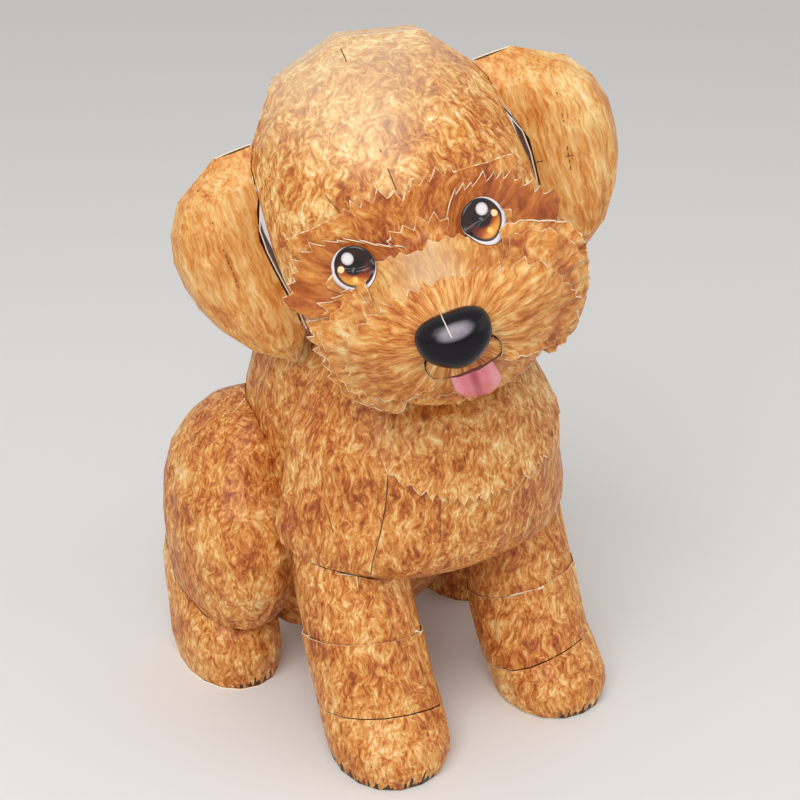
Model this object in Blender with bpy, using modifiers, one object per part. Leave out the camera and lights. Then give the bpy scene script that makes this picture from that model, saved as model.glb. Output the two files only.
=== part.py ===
"""A sitting paper dog glued up from printed card: rolled shells, layered fringes and hanging ears."""
import math

import bmesh
import bpy
from mathutils import Vector
from mathutils.bvhtree import BVHTree

MM = 0.001
OBJECT_NAME = "papercraft_dog"

# Card thickness, the gap between touching pieces, and the rise from one layer to the next
CARD = 0.3 * MM
FIT = 0.3 * MM
LAYER_GAP = 0.45 * MM
LAYER = CARD + LAYER_GAP
FACE_LIFT = 0.25 * MM
# Card folded more sharply than this shows a crease
FOLD_ANGLE = math.radians(34.0)

# Pose of the head: its centre, its rise over the chest, its turn to the dog's right and its tilt
HEAD_X = -10.0 * MM
HEAD_Y = -5.0 * MM
HEAD_RISE = 36.0 * MM
HEAD_TURN = 26.5
HEAD_TILT = 20.0

# Head: half width, crown height over the centre, throat depth under it, reach to the back
HEAD_HALF_WIDTH = 35.5 * MM
CROWN_HEIGHT = 45.7 * MM
THROAT_DEPTH = 38.0 * MM
HEAD_BACK_REACH = 40.0 * MM
FACE_REACH = 38.0 * MM
# Angles from the top at which the rim of the head has its corners
HEAD_CORNERS = (0.0, 34.0, 66.0, 98.0, 130.0, 158.0, 180.0)

# Muzzle: how far its end stands in front of the head centre, and the rim round the nose
MUZZLE_REACH = 69.0 * MM
MUZZLE_HALF_WIDTH = 27.0 * MM
MUZZLE_TOP = 1.0 * MM
MUZZLE_MIDDLE = -12.0 * MM
MUZZLE_ASIDE = 2.0 * MM
BEARD_DEPTH = 42.0 * MM
NOSE_RIM_HALF_WIDTH = 4.6 * MM
NOSE_RIM_TOP = -8.2 * MM
NOSE_RIM_BOTTOM = -15.0 * MM

# Nose
NOSE_HALF_WIDTH = 8.6 * MM
NOSE_TOP = -4.0 * MM
NOSE_BOTTOM = -18.4 * MM
NOSE_LENGTH = 5.4 * MM
NOSE_DOME = 2.2 * MM

# Eyes: discs of card on the eye patches
EYE_RADIUS = 5.7 * MM
EYE_SPREAD = 15.7 * MM
EYE_HEIGHT = 0.8 * MM

# Tongue
TONGUE_WIDTH = 11.5 * MM

# Ears: top and bottom height on the head, width, inner edge beside the head and half depth
EAR_TOP = 27.6 * MM
EAR_BOTTOM = -33.0 * MM
EAR_WIDTH = 24.5 * MM
EAR_INNER = HEAD_HALF_WIDTH + 2 * MM
EAR_REACH = EAR_INNER + EAR_WIDTH
EAR_HALF_DEPTH = 12.0 * MM

# Front body: chest and shoulders
CHEST_HALF_WIDTH = 42.0 * MM
CHEST_FRONT = -47.0 * MM
CHEST_BACK = 7.0 * MM
CHEST_MIDDLE = -5.0 * MM
CHEST_TOP_Z = 122.0 * MM
CHEST_LOW_Z = 50.0 * MM
CHEST_WIDEST_Z = CHEST_LOW_Z + 20 * MM
CHEST_SEAM_ANGLE = 46.0
CHEST_ASIDE = -1.5 * MM

# Neck: the card ring that stands on the body's rim and leans in under the head
NECK_HALF_WIDTH = 25.0 * MM
NECK_FRONT = -30.6 * MM
NECK_BACK = 31.2 * MM
NECK_ASIDE = CHEST_ASIDE / 2
NECK_RISE = 26.0 * MM

# Rear body
BODY_HALF_WIDTH = 38.0 * MM
BODY_BACK = 57.0 * MM
BODY_LOW_Z = 8.0 * MM
BODY_TOP_Z = CHEST_TOP_Z - 4 * MM
BODY_MIDDLE_Z = BODY_LOW_Z + 54 * MM

# Front legs
LEG_SPREAD = 29.0 * MM
LEG_RADIUS = 16.6 * MM
LEG_TOP_Z = 69.0 * MM
SHIN_TOP_Z = 34.3 * MM
PAW_TOP_Z = 14.2 * MM
PAW_MIDDLE = -33.5 * MM
# The seams slope: highest at this angle outward of the front, by this rise over their middle
SEAM_HIGH_ANGLE = 30.0
SEAM_RISE = 5.0 * MM

# Hind legs
THIGH_SPREAD = 43.0 * MM
THIGH_HALF_WIDTH = 18.5 * MM
THIGH_FRONT = 4.0 * MM
THIGH_BACK = 59.0 * MM
THIGH_TOP_Z = 90.0 * MM
THIGH_LOW_Z = 20.5 * MM
FOOT_SPREAD = 45.0 * MM
FOOT_HALF_WIDTH = 15.5 * MM
FOOT_FRONT = 13.5 * MM
FOOT_BACK = 60.0 * MM

# Tail
TAIL_LENGTH = 30.0 * MM
TAIL_RADIUS = 9.0 * MM
TAIL_Z = 44.0 * MM
TAIL_RISE_ANGLE = 35.0


def power(value, exponent):
    """Signed power, for rings that are rounder or squarer than an ellipse."""
    return math.copysign(abs(value) ** exponent, value)


class Skin:
    """A form given by rings. Each ring is a key and the numbers that its shape needs."""

    def __init__(self, rings, place, reference):
        self.keys = [ring[0] for ring in rings]
        self.rows = [ring[1:] for ring in rings]
        self.place = place
        self.sign = 1.0
        point = self.at(90.0, reference)
        centre = (self.at(90.0, reference) + self.at(-90.0, reference)) / 2
        if self.normal(90.0, reference).dot(point - centre) < 0:
            self.sign = -1.0

    def ring(self, key):
        """The ring's numbers at any key, on a smooth curve through the given rings."""
        keys = self.keys
        span = 0
        while span < len(keys) - 2 and key > keys[span + 1]:
            span += 1
        width = keys[span + 1] - keys[span]
        t = (key - keys[span]) / width
        result = []
        for column in range(len(self.rows[0])):
            start = self.rows[span][column]
            end = self.rows[span + 1][column]
            slope_start = self.slope(span, column) * width
            slope_end = self.slope(span + 1, column) * width
            value = (2 * t**3 - 3 * t**2 + 1) * start + (t**3 - 2 * t**2 + t) * slope_start
            value += (3 * t**2 - 2 * t**3) * end + (t**3 - t**2) * slope_end
            result.append(value)
        return result

    def slope(self, index, column):
        low = max(index - 1, 0)
        high = min(index + 1, len(self.keys) - 1)
        return (self.rows[high][column] - self.rows[low][column]) / (self.keys[high] - self.keys[low])

    def at(self, angle, key):
        return self.place(self.ring(key), angle, key)

    def normal(self, angle, key):
        small = (self.keys[-1] - self.keys[0]) * 0.002
        low = max(key - small, self.keys[0])
        high = min(key + small, self.keys[-1])
        along = self.at(angle, high) - self.at(angle, low)
        around = self.at(angle + 0.5, key) - self.at(angle - 0.5, key)
        return around.cross(along).normalized() * self.sign

    def raised(self, angle, key, rise):
        return self.at(angle, key) + self.normal(angle, key) * rise


def clear_scene():
    for item in list(bpy.data.objects):
        bpy.data.objects.remove(item, do_unlink=True)


def new_collection(name, hidden=False):
    group = bpy.data.collections.new(name)
    bpy.context.scene.collection.children.link(group)
    group.hide_render = hidden
    return group


def material(name, colour, roughness, metallic=0.0):
    made = bpy.data.materials.new(name)
    made.use_nodes = True
    shader = made.node_tree.nodes["Principled BSDF"]
    shader.inputs["Base Color"].default_value = (colour[0], colour[1], colour[2], 1.0)
    shader.inputs["Roughness"].default_value = roughness
    shader.inputs["Metallic"].default_value = metallic
    made.diffuse_color = (colour[0], colour[1], colour[2], 1.0)
    return made


clear_scene()
PARTS = new_collection(OBJECT_NAME)
CUTTERS = new_collection("cutters", hidden=True)

FUR = material("printed_fur", (0.72, 0.42, 0.16), 0.55)
FUR_DARK = material("printed_fur_dark", (0.45, 0.19, 0.06), 0.55)
FUR_PALE = material("printed_fur_pale", (0.82, 0.58, 0.28), 0.55)
PINK_GREY = material("ear_lining_card", (0.62, 0.42, 0.38), 0.6)
NOSE_BLACK = material("nose_card", (0.012, 0.01, 0.014), 0.22)
EYE_PRINT = material("eye_card", (0.12, 0.03, 0.01), 0.18)
TONGUE_PINK = material("tongue_card", (0.78, 0.22, 0.26), 0.4)
MOUTH_RED = material("mouth_card", (0.25, 0.03, 0.02), 0.5)

ROOT = bpy.data.objects.new("dog_base", None)
PARTS.objects.link(ROOT)
HEAD = bpy.data.objects.new("head_centre", None)
PARTS.objects.link(HEAD)
HEAD.parent = ROOT
HEAD.location = (HEAD_X, HEAD_Y, CHEST_TOP_Z + HEAD_RISE)
HEAD.rotation_euler = (0.0, math.radians(-HEAD_TILT), math.radians(-HEAD_TURN))


def shade(mesh_builder):
    """Smooth shading, kept sharp at cut edges and at folds."""
    for face in mesh_builder.faces:
        face.smooth = True
    for edge in mesh_builder.edges:
        edge.smooth = len(edge.link_faces) == 2 and edge.calc_face_angle(0.0) < FOLD_ANGLE


def add_object(name, mesh_builder, parent, paint):
    mesh = bpy.data.meshes.new(name)
    shade(mesh_builder)
    mesh_builder.to_mesh(mesh)
    mesh_builder.free()
    made = bpy.data.objects.new(name, mesh)
    PARTS.objects.link(made)
    made.parent = parent
    mesh.materials.append(paint)
    return made


def make_cutter(item):
    PARTS.objects.unlink(item)
    CUTTERS.objects.link(item)
    item.hide_render = True
    item.display_type = "WIRE"
    return item


def spread(start, end, count):
    return [start + (end - start) * step / count for step in range(count + 1)]


def face_grid(builder, grid, wrap):
    """Joins rows of points into faces; wrap closes each row on itself."""
    for lower, upper in zip(grid, grid[1:]):
        count = len(lower)
        for step in range(count if wrap else count - 1):
            after = (step + 1) % count
            builder.faces.new((lower[step], lower[after], upper[after], upper[step]))


def point_outward(builder, skin, angle, key):
    """Turns the faces so that they look away from the middle of the skin."""
    builder.normal_update()
    target = skin.at(angle, key)
    nearest = min(builder.faces, key=lambda face: (face.calc_center_median() - target).length)
    if nearest.normal.dot(skin.normal(angle, key)) < 0:
        bmesh.ops.reverse_faces(builder, faces=builder.faces)


def flat_edge(value):
    return lambda angle: value


def sheet(name, skin, angles, first, last, rows, rise, paint, parent=ROOT, wrap=False,
          teeth_first=0.0, teeth_last=0.0, flare=0.0, cap_first=False, cap_last=False):
    """One card lying on a skin, between two edges, with pinked teeth where asked."""
    builder = bmesh.new()
    grid = []
    for row in range(rows + 1):
        share = row / rows
        line = []
        for column, angle in enumerate(angles):
            start = first(angle)
            end = last(angle)
            if column % 2:
                start += teeth_first
                end += teeth_last
            key = start + (end - start) * share
            lift = rise + flare * share**3
            line.append(builder.verts.new(skin.raised(angle, key, lift)))
        grid.append(line)
    face_grid(builder, grid, wrap)
    if cap_first:
        builder.faces.new(grid[0])
    if cap_last:
        builder.faces.new(list(reversed(grid[-1])))
    middle = angles[len(angles) // 2]
    point_outward(builder, skin, middle, (first(middle) + last(middle)) / 2)
    if cap_first or cap_last:
        bmesh.ops.recalc_face_normals(builder, faces=builder.faces)
        point_outward(builder, skin, middle, (first(middle) + last(middle)) / 2)
    made = add_object(name, builder, parent, paint)
    thicken(made)
    return made


def thicken(item):
    """Gives a card surface its thickness, on its inner side."""
    shell = item.modifiers.new("card", "SOLIDIFY")
    shell.thickness = CARD
    shell.offset = -1.0
    shell.use_even_offset = True
    shell.use_rim = True


def core(name, skin, angles, keys, rise, parent=ROOT):
    """The solid inside a skin, grown by the rise, used to cut what stands against it."""
    builder = bmesh.new()
    grid = [[builder.verts.new(skin.raised(angle, key, rise)) for angle in angles] for key in keys]
    face_grid(builder, grid, True)
    builder.faces.new(grid[0])
    builder.faces.new(grid[-1])
    bmesh.ops.triangulate(builder, faces=[face for face in builder.faces if len(face.verts) > 4])
    bmesh.ops.recalc_face_normals(builder, faces=builder.faces)
    made = add_object(name, builder, parent, FUR)
    return make_cutter(made)


def cut(item, cutter):
    away = item.modifiers.new("clear_" + cutter.name, "BOOLEAN")
    away.operation = "DIFFERENCE"
    away.solver = "EXACT"
    away.object = cutter


def round_angles(count, start=-180.0):
    return [start + 360.0 * step / count for step in range(count)]


# Head and face

def corner_point(ring, angle, simple):
    """The point on the straight line between the two corners beside an angle."""
    size = abs(angle) if abs(angle) <= 180.0 else 360.0 - abs(angle)
    side = 1.0 if (0.0 <= angle <= 180.0 or angle < -180.0) else -1.0
    for low, high in zip(HEAD_CORNERS, HEAD_CORNERS[1:]):
        if low <= size <= high:
            share = (size - low) / (high - low)
            return simple(ring, low * side).lerp(simple(ring, high * side), share)
    return simple(ring, angle)


def head_simple(ring, angle):
    front_top, front_side, front_low, half_width, top, middle, low, roundness, corners, taper, aside = ring
    cosine = math.cos(math.radians(angle))
    sine = math.sin(math.radians(angle))
    across = aside + half_width * power(sine, 2 / roundness) * (1.0 - taper * max(cosine, 0.0))
    if cosine >= 0:
        height = middle + (top - middle) * power(cosine, 2 / roundness)
        front = front_side + (front_top - front_side) * cosine**2
    else:
        height = middle + (middle - low) * power(cosine, 2 / roundness)
        front = front_side + (front_low - front_side) * cosine**2
    return Vector((across, -front, height))


def head_place(ring, angle, key):
    smooth = head_simple(ring, angle)
    share = min(max(ring[8], 0.0), 1.0)
    if share <= 0.0:
        return smooth
    return smooth.lerp(corner_point(ring, angle, head_simple), share)


def head_ring(key, fronts, half_width, top, middle, low, roundness=2.1, corners=0.0, taper=0.0, aside=0.0):
    return (key, fronts[0], fronts[1], fronts[2], half_width, top, middle, low, roundness, corners, taper,
            aside)


def between(*shares):
    """Reaches at shares of the way from the face to the end of the muzzle."""
    return tuple(FACE_REACH + (MUZZLE_REACH - FACE_REACH) * share for share in shares)


HEAD_RINGS = (
    head_ring(0.0, between(1.0, 0.97, 0.87), NOSE_RIM_HALF_WIDTH, NOSE_RIM_TOP, MUZZLE_MIDDLE + 2 * MM,
              NOSE_RIM_BOTTOM),
    head_ring(1.0, between(0.645, 0.71, 0.71), MUZZLE_HALF_WIDTH - 9 * MM, MUZZLE_TOP - 3 * MM,
              MUZZLE_MIDDLE + 1 * MM,
              -BEARD_DEPTH + 17 * MM, taper=0.2, aside=MUZZLE_ASIDE / 2),
    head_ring(2.0, between(0.323, 0.387, 0.452), MUZZLE_HALF_WIDTH - 2 * MM, MUZZLE_TOP - 1 * MM,
              MUZZLE_MIDDLE,
              -BEARD_DEPTH + 9 * MM, taper=0.45, aside=MUZZLE_ASIDE),
    head_ring(3.0, between(0.145, 0.097, 0.258), MUZZLE_HALF_WIDTH + 2 * MM, MUZZLE_TOP + 2 * MM,
              MUZZLE_MIDDLE,
              -BEARD_DEPTH + 2 * MM, taper=0.6, aside=MUZZLE_ASIDE),
    head_ring(4.0, (FACE_REACH + 2 * MM, FACE_REACH - 2 * MM, FACE_REACH), HEAD_HALF_WIDTH - 4 * MM,
              9 * MM, -10 * MM, -THROAT_DEPTH - 3 * MM, taper=0.25, aside=MUZZLE_ASIDE / 2),
    head_ring(5.0, (FACE_REACH, FACE_REACH - 10 * MM, FACE_REACH - 9 * MM), HEAD_HALF_WIDTH - 1.5 * MM,
              16 * MM, -6 * MM, -THROAT_DEPTH - 3 * MM),
    head_ring(6.0, (FACE_REACH - 7 * MM, FACE_REACH - 18 * MM, FACE_REACH - 19 * MM),
              HEAD_HALF_WIDTH - 0.5 * MM,
              CROWN_HEIGHT - 16.7 * MM, 0.0, -THROAT_DEPTH - 2 * MM, 2.15),
    head_ring(7.0, (FACE_REACH - 20 * MM, FACE_REACH - 28 * MM, FACE_REACH - 30 * MM), HEAD_HALF_WIDTH,
              CROWN_HEIGHT - 5.7 * MM, 5 * MM, -THROAT_DEPTH - 1 * MM, 2.2, 0.5),
    head_ring(8.0, (0.0, 0.0, 0.0), HEAD_HALF_WIDTH, CROWN_HEIGHT, 8 * MM, -THROAT_DEPTH, 2.25, 1.0),
    head_ring(9.0, (-HEAD_BACK_REACH * 0.4,) * 3, HEAD_HALF_WIDTH - 2 * MM, CROWN_HEIGHT - 2.2 * MM, 8 * MM,
              -THROAT_DEPTH + 4 * MM, 2.25, 1.0),
    head_ring(10.0, (-HEAD_BACK_REACH * 0.72,) * 3, HEAD_HALF_WIDTH - 9.5 * MM, CROWN_HEIGHT - 11.7 * MM,
              8 * MM,
              -THROAT_DEPTH + 14 * MM, 2.25, 1.0),
    head_ring(11.0, (-HEAD_BACK_REACH * 0.94,) * 3, HEAD_HALF_WIDTH - 21.5 * MM, CROWN_HEIGHT - 25.7 * MM,
              6 * MM,
              -THROAT_DEPTH + 29 * MM, 2.2, 1.0),
    head_ring(12.0, (-HEAD_BACK_REACH,) * 3, 1.5 * MM, 6.5 * MM, 5 * MM, 3.5 * MM, 2.0, 1.0),
)
HEAD_SKIN = Skin(HEAD_RINGS, head_place, 8.0)
HEAD_SIDE_ANGLES = [8.5, 17.0, 25.5, 34.0, 42.0, 50.0, 58.0, 66.0, 76.0, 87.0, 98.0, 114.0, 130.0, 158.0]
HEAD_ANGLES = [-angle for angle in reversed(HEAD_SIDE_ANGLES)] + [0.0] + HEAD_SIDE_ANGLES + [180.0]
HEAD_KEYS = [3.0, 4.0, 5.0, 6.0, 7.0, 8.0]

head_core = core("head_core", HEAD_SKIN, HEAD_ANGLES, HEAD_KEYS + [9.0, 10.0, 11.0, 12.0], FIT, HEAD)

head_front = sheet("head_front", HEAD_SKIN, HEAD_ANGLES, flat_edge(3.0), flat_edge(8.0), 6, 0.0, FUR_PALE,
                   HEAD, wrap=True)
BACK_ANGLES = [-angle for angle in reversed(HEAD_CORNERS[1:-1])] + [0.0] + list(HEAD_CORNERS[1:])
HEAD_SEAM = FIT / (HEAD_BACK_REACH * 0.4)
head_back = sheet("head_back", HEAD_SKIN, BACK_ANGLES, flat_edge(8.0 + HEAD_SEAM), flat_edge(12.0), 4, 0.0,
                  FUR, HEAD,
                  wrap=True, cap_last=True)


def level(count):
    """Rise of the outer side of a face layer over the head."""
    return count * LAYER + FACE_LIFT


brow = sheet("brow", HEAD_SKIN, spread(-56.0, 56.0, 22), flat_edge(2.95), lambda a: 4.7 + 0.1 * abs(a) / 56,
             4,
             level(1), FUR_DARK, HEAD, teeth_last=0.28)

for side, tag in ((1.0, "left"), (-1.0, "right")):
    angles = [angle * side for angle in spread(24.0, 98.0, 16)]
    sheet("eye_patch_" + tag, HEAD_SKIN, angles, flat_edge(2.3),
          lambda a: 4.1 - 0.35 * abs(abs(a) - 62) / 37, 4,
          level(2), FUR_DARK, HEAD, teeth_last=0.25)

sheet("bridge_back", HEAD_SKIN, spread(-21.0, 21.0, 10), flat_edge(2.2), flat_edge(3.1), 2, level(2),
      FUR_DARK, HEAD,
      teeth_last=0.2)


def bridge_edge(angle):
    size = abs(angle)
    if size < 22:
        return 2.75
    if size < 52:
        return 2.75 + 0.75 * (size - 22) / 30
    return 3.5 - 0.6 * (size - 52) / 30


bridge = sheet("bridge", HEAD_SKIN, spread(-82.0, 82.0, 32), flat_edge(0.6), bridge_edge, 4, level(3),
               FUR_PALE, HEAD,
      teeth_last=0.18)


def pad_edge(angle):
    size = abs(angle)
    if size < 94:
        return 1.6 + 0.8 * (size - 78) / 16
    return 2.4 - 0.6 * max(size - 108, 0) / 24


for side, tag in ((1.0, "left"), (-1.0, "right")):
    angles = [angle * side for angle in spread(84.0, 130.0, 14)]
    sheet("under_fringe_" + tag, HEAD_SKIN, angles, flat_edge(2.7), flat_edge(3.95), 3, level(3), FUR, HEAD,
          teeth_last=0.28, flare=1.2 * MM)
    angles = [angle * side for angle in spread(74.0, 134.0, 18)]
    sheet("cheek_fringe_" + tag, HEAD_SKIN, angles, flat_edge(1.5), flat_edge(3.25), 3, level(4), FUR_PALE,
          HEAD,
          teeth_last=0.28, flare=2.4 * MM)
    angles = [angle * side for angle in spread(78.0, 132.0, 18)]
    sheet("muzzle_pad_" + tag, HEAD_SKIN, angles, flat_edge(0.12), pad_edge, 4, level(5), FUR_PALE, HEAD,
          teeth_last=0.25, flare=1.8 * MM)

sheet("nose_collar", HEAD_SKIN, spread(-76.0, 76.0, 20), flat_edge(0.1), flat_edge(1.0), 2, level(4),
      FUR_PALE, HEAD,
      teeth_last=0.25, flare=0.5 * MM)
sheet("lip", HEAD_SKIN, spread(146.0, 214.0, 10), flat_edge(0.1), flat_edge(1.0), 3, level(4), FUR_PALE,
      HEAD)
sheet("mouth_lining", HEAD_SKIN, spread(126.0, 234.0, 10), flat_edge(0.2), flat_edge(1.95), 3, level(2),
      MOUTH_RED, HEAD)
sheet("chin", HEAD_SKIN, spread(128.0, 232.0, 24), flat_edge(1.5), flat_edge(2.45), 3, level(3), FUR, HEAD,
      teeth_last=0.3)
sheet("beard", HEAD_SKIN, spread(120.0, 240.0, 28), flat_edge(2.2), flat_edge(3.1), 3, level(2), FUR, HEAD,
      teeth_last=0.35)


# Nose and tongue

def nose_place(ring, angle, key):
    half_width, half_height, middle, reach = ring
    cosine = math.cos(math.radians(angle))
    sine = math.sin(math.radians(angle))
    across = half_width * power(sine, 0.9) * (1.0 + 0.16 * cosine)
    return Vector((across, -reach, middle + half_height * power(cosine, 0.9)))


NOSE_MIDDLE = (NOSE_TOP + NOSE_BOTTOM) / 2
NOSE_HALF_HEIGHT = (NOSE_TOP - NOSE_BOTTOM) / 2
NOSE_START = MUZZLE_REACH + 1.8 * MM
NOSE_SKIN = Skin((
    (0.0, NOSE_HALF_WIDTH * 0.96, NOSE_HALF_HEIGHT * 0.96, NOSE_MIDDLE, NOSE_START),
    (1.0, NOSE_HALF_WIDTH, NOSE_HALF_HEIGHT, NOSE_MIDDLE, NOSE_START + NOSE_LENGTH * 0.6),
    (2.0, NOSE_HALF_WIDTH * 0.86, NOSE_HALF_HEIGHT * 0.84, NOSE_MIDDLE, NOSE_START + NOSE_LENGTH),
    (3.0, NOSE_HALF_WIDTH * 0.5, NOSE_HALF_HEIGHT * 0.48, NOSE_MIDDLE,
     NOSE_START + NOSE_LENGTH + NOSE_DOME * 0.75),
    (4.0, NOSE_HALF_WIDTH * 0.06, NOSE_HALF_HEIGHT * 0.06, NOSE_MIDDLE,
     NOSE_START + NOSE_LENGTH + NOSE_DOME),
), nose_place, 0.5)
sheet("nose", NOSE_SKIN, round_angles(16), flat_edge(0.0), flat_edge(4.0), 5, 0.0, NOSE_BLACK, HEAD,
      wrap=True, cap_last=True)


TONGUE_MIDDLE = 177.0
TONGUE_START = 0.72
TONGUE_TURN = 1.12
TONGUE_END = 2.15


def tongue_half_width(share):
    tip = max(share - 0.5, 0.0) / 0.5
    return max(TONGUE_WIDTH / 2 * math.sqrt(max(1.0 - tip * tip, 0.0)), 0.9 * MM)


def make_tongue():
    builder = bmesh.new()
    grid = []
    for share in (0.0, 0.2, 0.3, 0.4, 0.55, 0.7, 0.85, 0.94, 1.0):
        key = TONGUE_START + (TONGUE_END - TONGUE_START) * share
        over = min(max((key - TONGUE_TURN) / 0.28, 0.0), 1.0)
        rise = level(3) + 2.4 * LAYER * over * over * (3 - 2 * over)
        half = tongue_half_width(share)
        across = HEAD_SKIN.ring(key)[3]
        line = []
        for step in spread(-1.0, 1.0, 6):
            angle = TONGUE_MIDDLE - math.degrees(math.asin(half * step / across))
            groove = -0.5 * MM * max(1.0 - abs(step) * 2.5, 0.0) * over
            line.append(builder.verts.new(HEAD_SKIN.raised(angle, key, rise + groove)))
        grid.append(line)
    face_grid(builder, grid, False)
    point_outward(builder, HEAD_SKIN, TONGUE_MIDDLE, TONGUE_TURN)
    thicken(add_object("tongue", builder, HEAD, TONGUE_PINK))


make_tongue()

# Eyes: discs that lie on the eye patches; the bridge is cut out round them
EYE_TURN = 12.0
EYE_LOOK_UP = 14.0
EYE_STAND_OFF = 0.3 * MM
EYE_CLEARING = 16.0 * MM


def raised_tree(skin, angles, keys, rise):
    """A search tree of the skin grown by a rise, to find where a flat piece comes to lie on it."""
    points = [skin.raised(angle, key, rise) for key in keys for angle in angles]
    count = len(angles)
    faces = []
    for row in range(len(keys) - 1):
        for column in range(count - 1):
            start = row * count + column
            faces.append((start, start + 1, start + count + 1, start + count))
    return BVHTree.FromPolygons(points, faces)


def seat_distance(tree, centre, outward, radius):
    """How far a disc moves along its normal until it just lies on the skin."""
    turn = outward.to_track_quat("Z", "Y")
    highest = -1.0
    for size in (0.0, 0.5, 0.85, 1.0):
        for step in range(16):
            spoke = 2 * math.pi * step / 16
            offset = turn @ Vector((math.cos(spoke), math.sin(spoke), 0.0)) * radius * size
            start = centre + offset + outward * 0.1
            hit = tree.ray_cast(start, -outward)
            if hit[0] is not None:
                highest = max(highest, (hit[0] - centre - offset).dot(outward))
    return highest


face_tree = raised_tree(HEAD_SKIN, spread(-100.0, 100.0, 60), spread(2.3, 5.2, 28), level(2) + 2 * FIT)
for side, tag in ((1.0, "left"), (-1.0, "right")):
    bpy.ops.mesh.primitive_cylinder_add(vertices=36, radius=EYE_RADIUS, depth=CARD)
    eye = bpy.context.active_object
    eye.name = "eye_" + tag
    eye.data.name = eye.name
    for group in list(eye.users_collection):
        group.objects.unlink(eye)
    PARTS.objects.link(eye)
    eye.data.materials.append(EYE_PRINT)
    eye.parent = HEAD
    turn_out = math.radians(EYE_TURN) * side
    look_up = math.radians(EYE_LOOK_UP)
    outward = Vector((math.sin(turn_out) * math.cos(look_up), -math.cos(turn_out) * math.cos(look_up),
                      math.sin(look_up)))
    middle = Vector((EYE_SPREAD * side, -FACE_REACH, EYE_HEIGHT))
    middle += outward * (seat_distance(face_tree, middle, outward, EYE_RADIUS) + CARD / 2 + EYE_STAND_OFF)
    eye.rotation_euler = outward.to_track_quat("Z", "Y").to_euler()
    eye.location = middle
    bpy.ops.mesh.primitive_cylinder_add(vertices=36, radius=EYE_RADIUS + FIT, depth=EYE_CLEARING)
    clearing = bpy.context.active_object
    clearing.name = "eye_clearing_" + tag
    for group in list(clearing.users_collection):
        group.objects.unlink(clearing)
    PARTS.objects.link(clearing)
    clearing.parent = HEAD
    clearing.rotation_euler = eye.rotation_euler
    clearing.location = middle
    cut(bridge, make_cutter(clearing))

# Ears: a folded card that wraps a hollow, with a lining on the side of the head

def ear_section(ring):
    inner, outer, front = ring[0], ring[1], ring[2]
    fold = inner + (outer - inner) * 0.4
    half = [
        (inner, front * 0.66), (inner + (fold - inner) * 0.5, front * 0.86), (fold, front),
        (fold + (outer - fold) * 0.45, front * 0.86), (fold + (outer - fold) * 0.82, front * 0.52), (outer,
                                                                                                     0.0),
    ]
    return half + [(across, -depth * 0.9) for across, depth in reversed(half[:-1])]


def ear_place_side(side):
    def place(ring, angle, key):
        points = ear_section(ring)
        step = min(max(angle, 0.0), len(points) - 1.0)
        index = min(int(step), len(points) - 2)
        share = angle - index
        across = points[index][0] + (points[index + 1][0] - points[index][0]) * share
        depth = points[index][1] + (points[index + 1][1] - points[index][1]) * share
        return Vector((side * across, -depth, -key))
    return place


EAR_RINGS = (
    (-EAR_TOP, EAR_INNER - 9.5 * MM, EAR_REACH - 20.5 * MM, EAR_HALF_DEPTH - 10.6 * MM),
    (-EAR_TOP + 1.5 * MM, EAR_INNER - 8.5 * MM, EAR_REACH - 15.5 * MM, EAR_HALF_DEPTH - 7.0 * MM),
    (-EAR_TOP + 9.0 * MM, EAR_INNER - 5.0 * MM, EAR_REACH - 6.0 * MM, EAR_HALF_DEPTH - 2.5 * MM),
    (-EAR_TOP + 20.0 * MM, EAR_INNER, EAR_REACH - 0.5 * MM, EAR_HALF_DEPTH),
    (-EAR_TOP + 31.0 * MM, EAR_INNER, EAR_REACH, EAR_HALF_DEPTH),
    (-EAR_TOP + 42.0 * MM, EAR_INNER - 1.0 * MM, EAR_REACH - 2.5 * MM, EAR_HALF_DEPTH - 0.5 * MM),
    (-EAR_BOTTOM - 9.5 * MM, EAR_INNER - 1.5 * MM, EAR_REACH - 7.5 * MM, EAR_HALF_DEPTH - 2.0 * MM),
    (-EAR_BOTTOM - 3.0 * MM, EAR_INNER + 0.5 * MM, EAR_REACH - 13.5 * MM, EAR_HALF_DEPTH - 5.0 * MM),
    (-EAR_BOTTOM, EAR_INNER + 3.0 * MM, EAR_REACH - 18.0 * MM, EAR_HALF_DEPTH - 8.5 * MM),
)


def ear_lining(name, skin, side):
    """The card that closes the side of the ear towards the head."""
    builder = bmesh.new()
    grid = []
    for key in spread(skin.keys[0] + 1.0 * MM, skin.keys[-1] - 9.0 * MM, 8):
        front = skin.at(0.0, key)
        back = skin.at(10.0, key)
        shift = Vector((-side * (FIT + CARD), 0.0, 0.0))
        grid.append([builder.verts.new(front.lerp(back, share) + shift) for share in (0.0, 0.33, 0.67,
                                                                                      1.0)])
    face_grid(builder, grid, False)
    builder.normal_update()
    if builder.faces[0:1] and next(iter(builder.faces)).normal.x * side < 0:
        bmesh.ops.reverse_faces(builder, faces=builder.faces)
    made = add_object(name, builder, HEAD, PINK_GREY)
    thicken(made)
    made.modifiers["card"].offset = -1.0
    return made


for side, tag in ((1.0, "left"), (-1.0, "right")):
    ear_skin = Skin(EAR_RINGS, ear_place_side(side), 0.0)
    ear_skin.sign = 1.0
    if ear_skin.normal(5.0, 0.0).x * side < 0:
        ear_skin.sign = -1.0
    ear = sheet("ear_" + tag, ear_skin, spread(0.0, 10.0, 20), flat_edge(-EAR_TOP), flat_edge(-EAR_BOTTOM),
                8, 0.0,
                FUR, HEAD, teeth_last=1.2 * MM)
    cut(ear, head_core)
    cut(ear_lining("ear_lining_" + tag, ear_skin, side), head_core)


# Body

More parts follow.
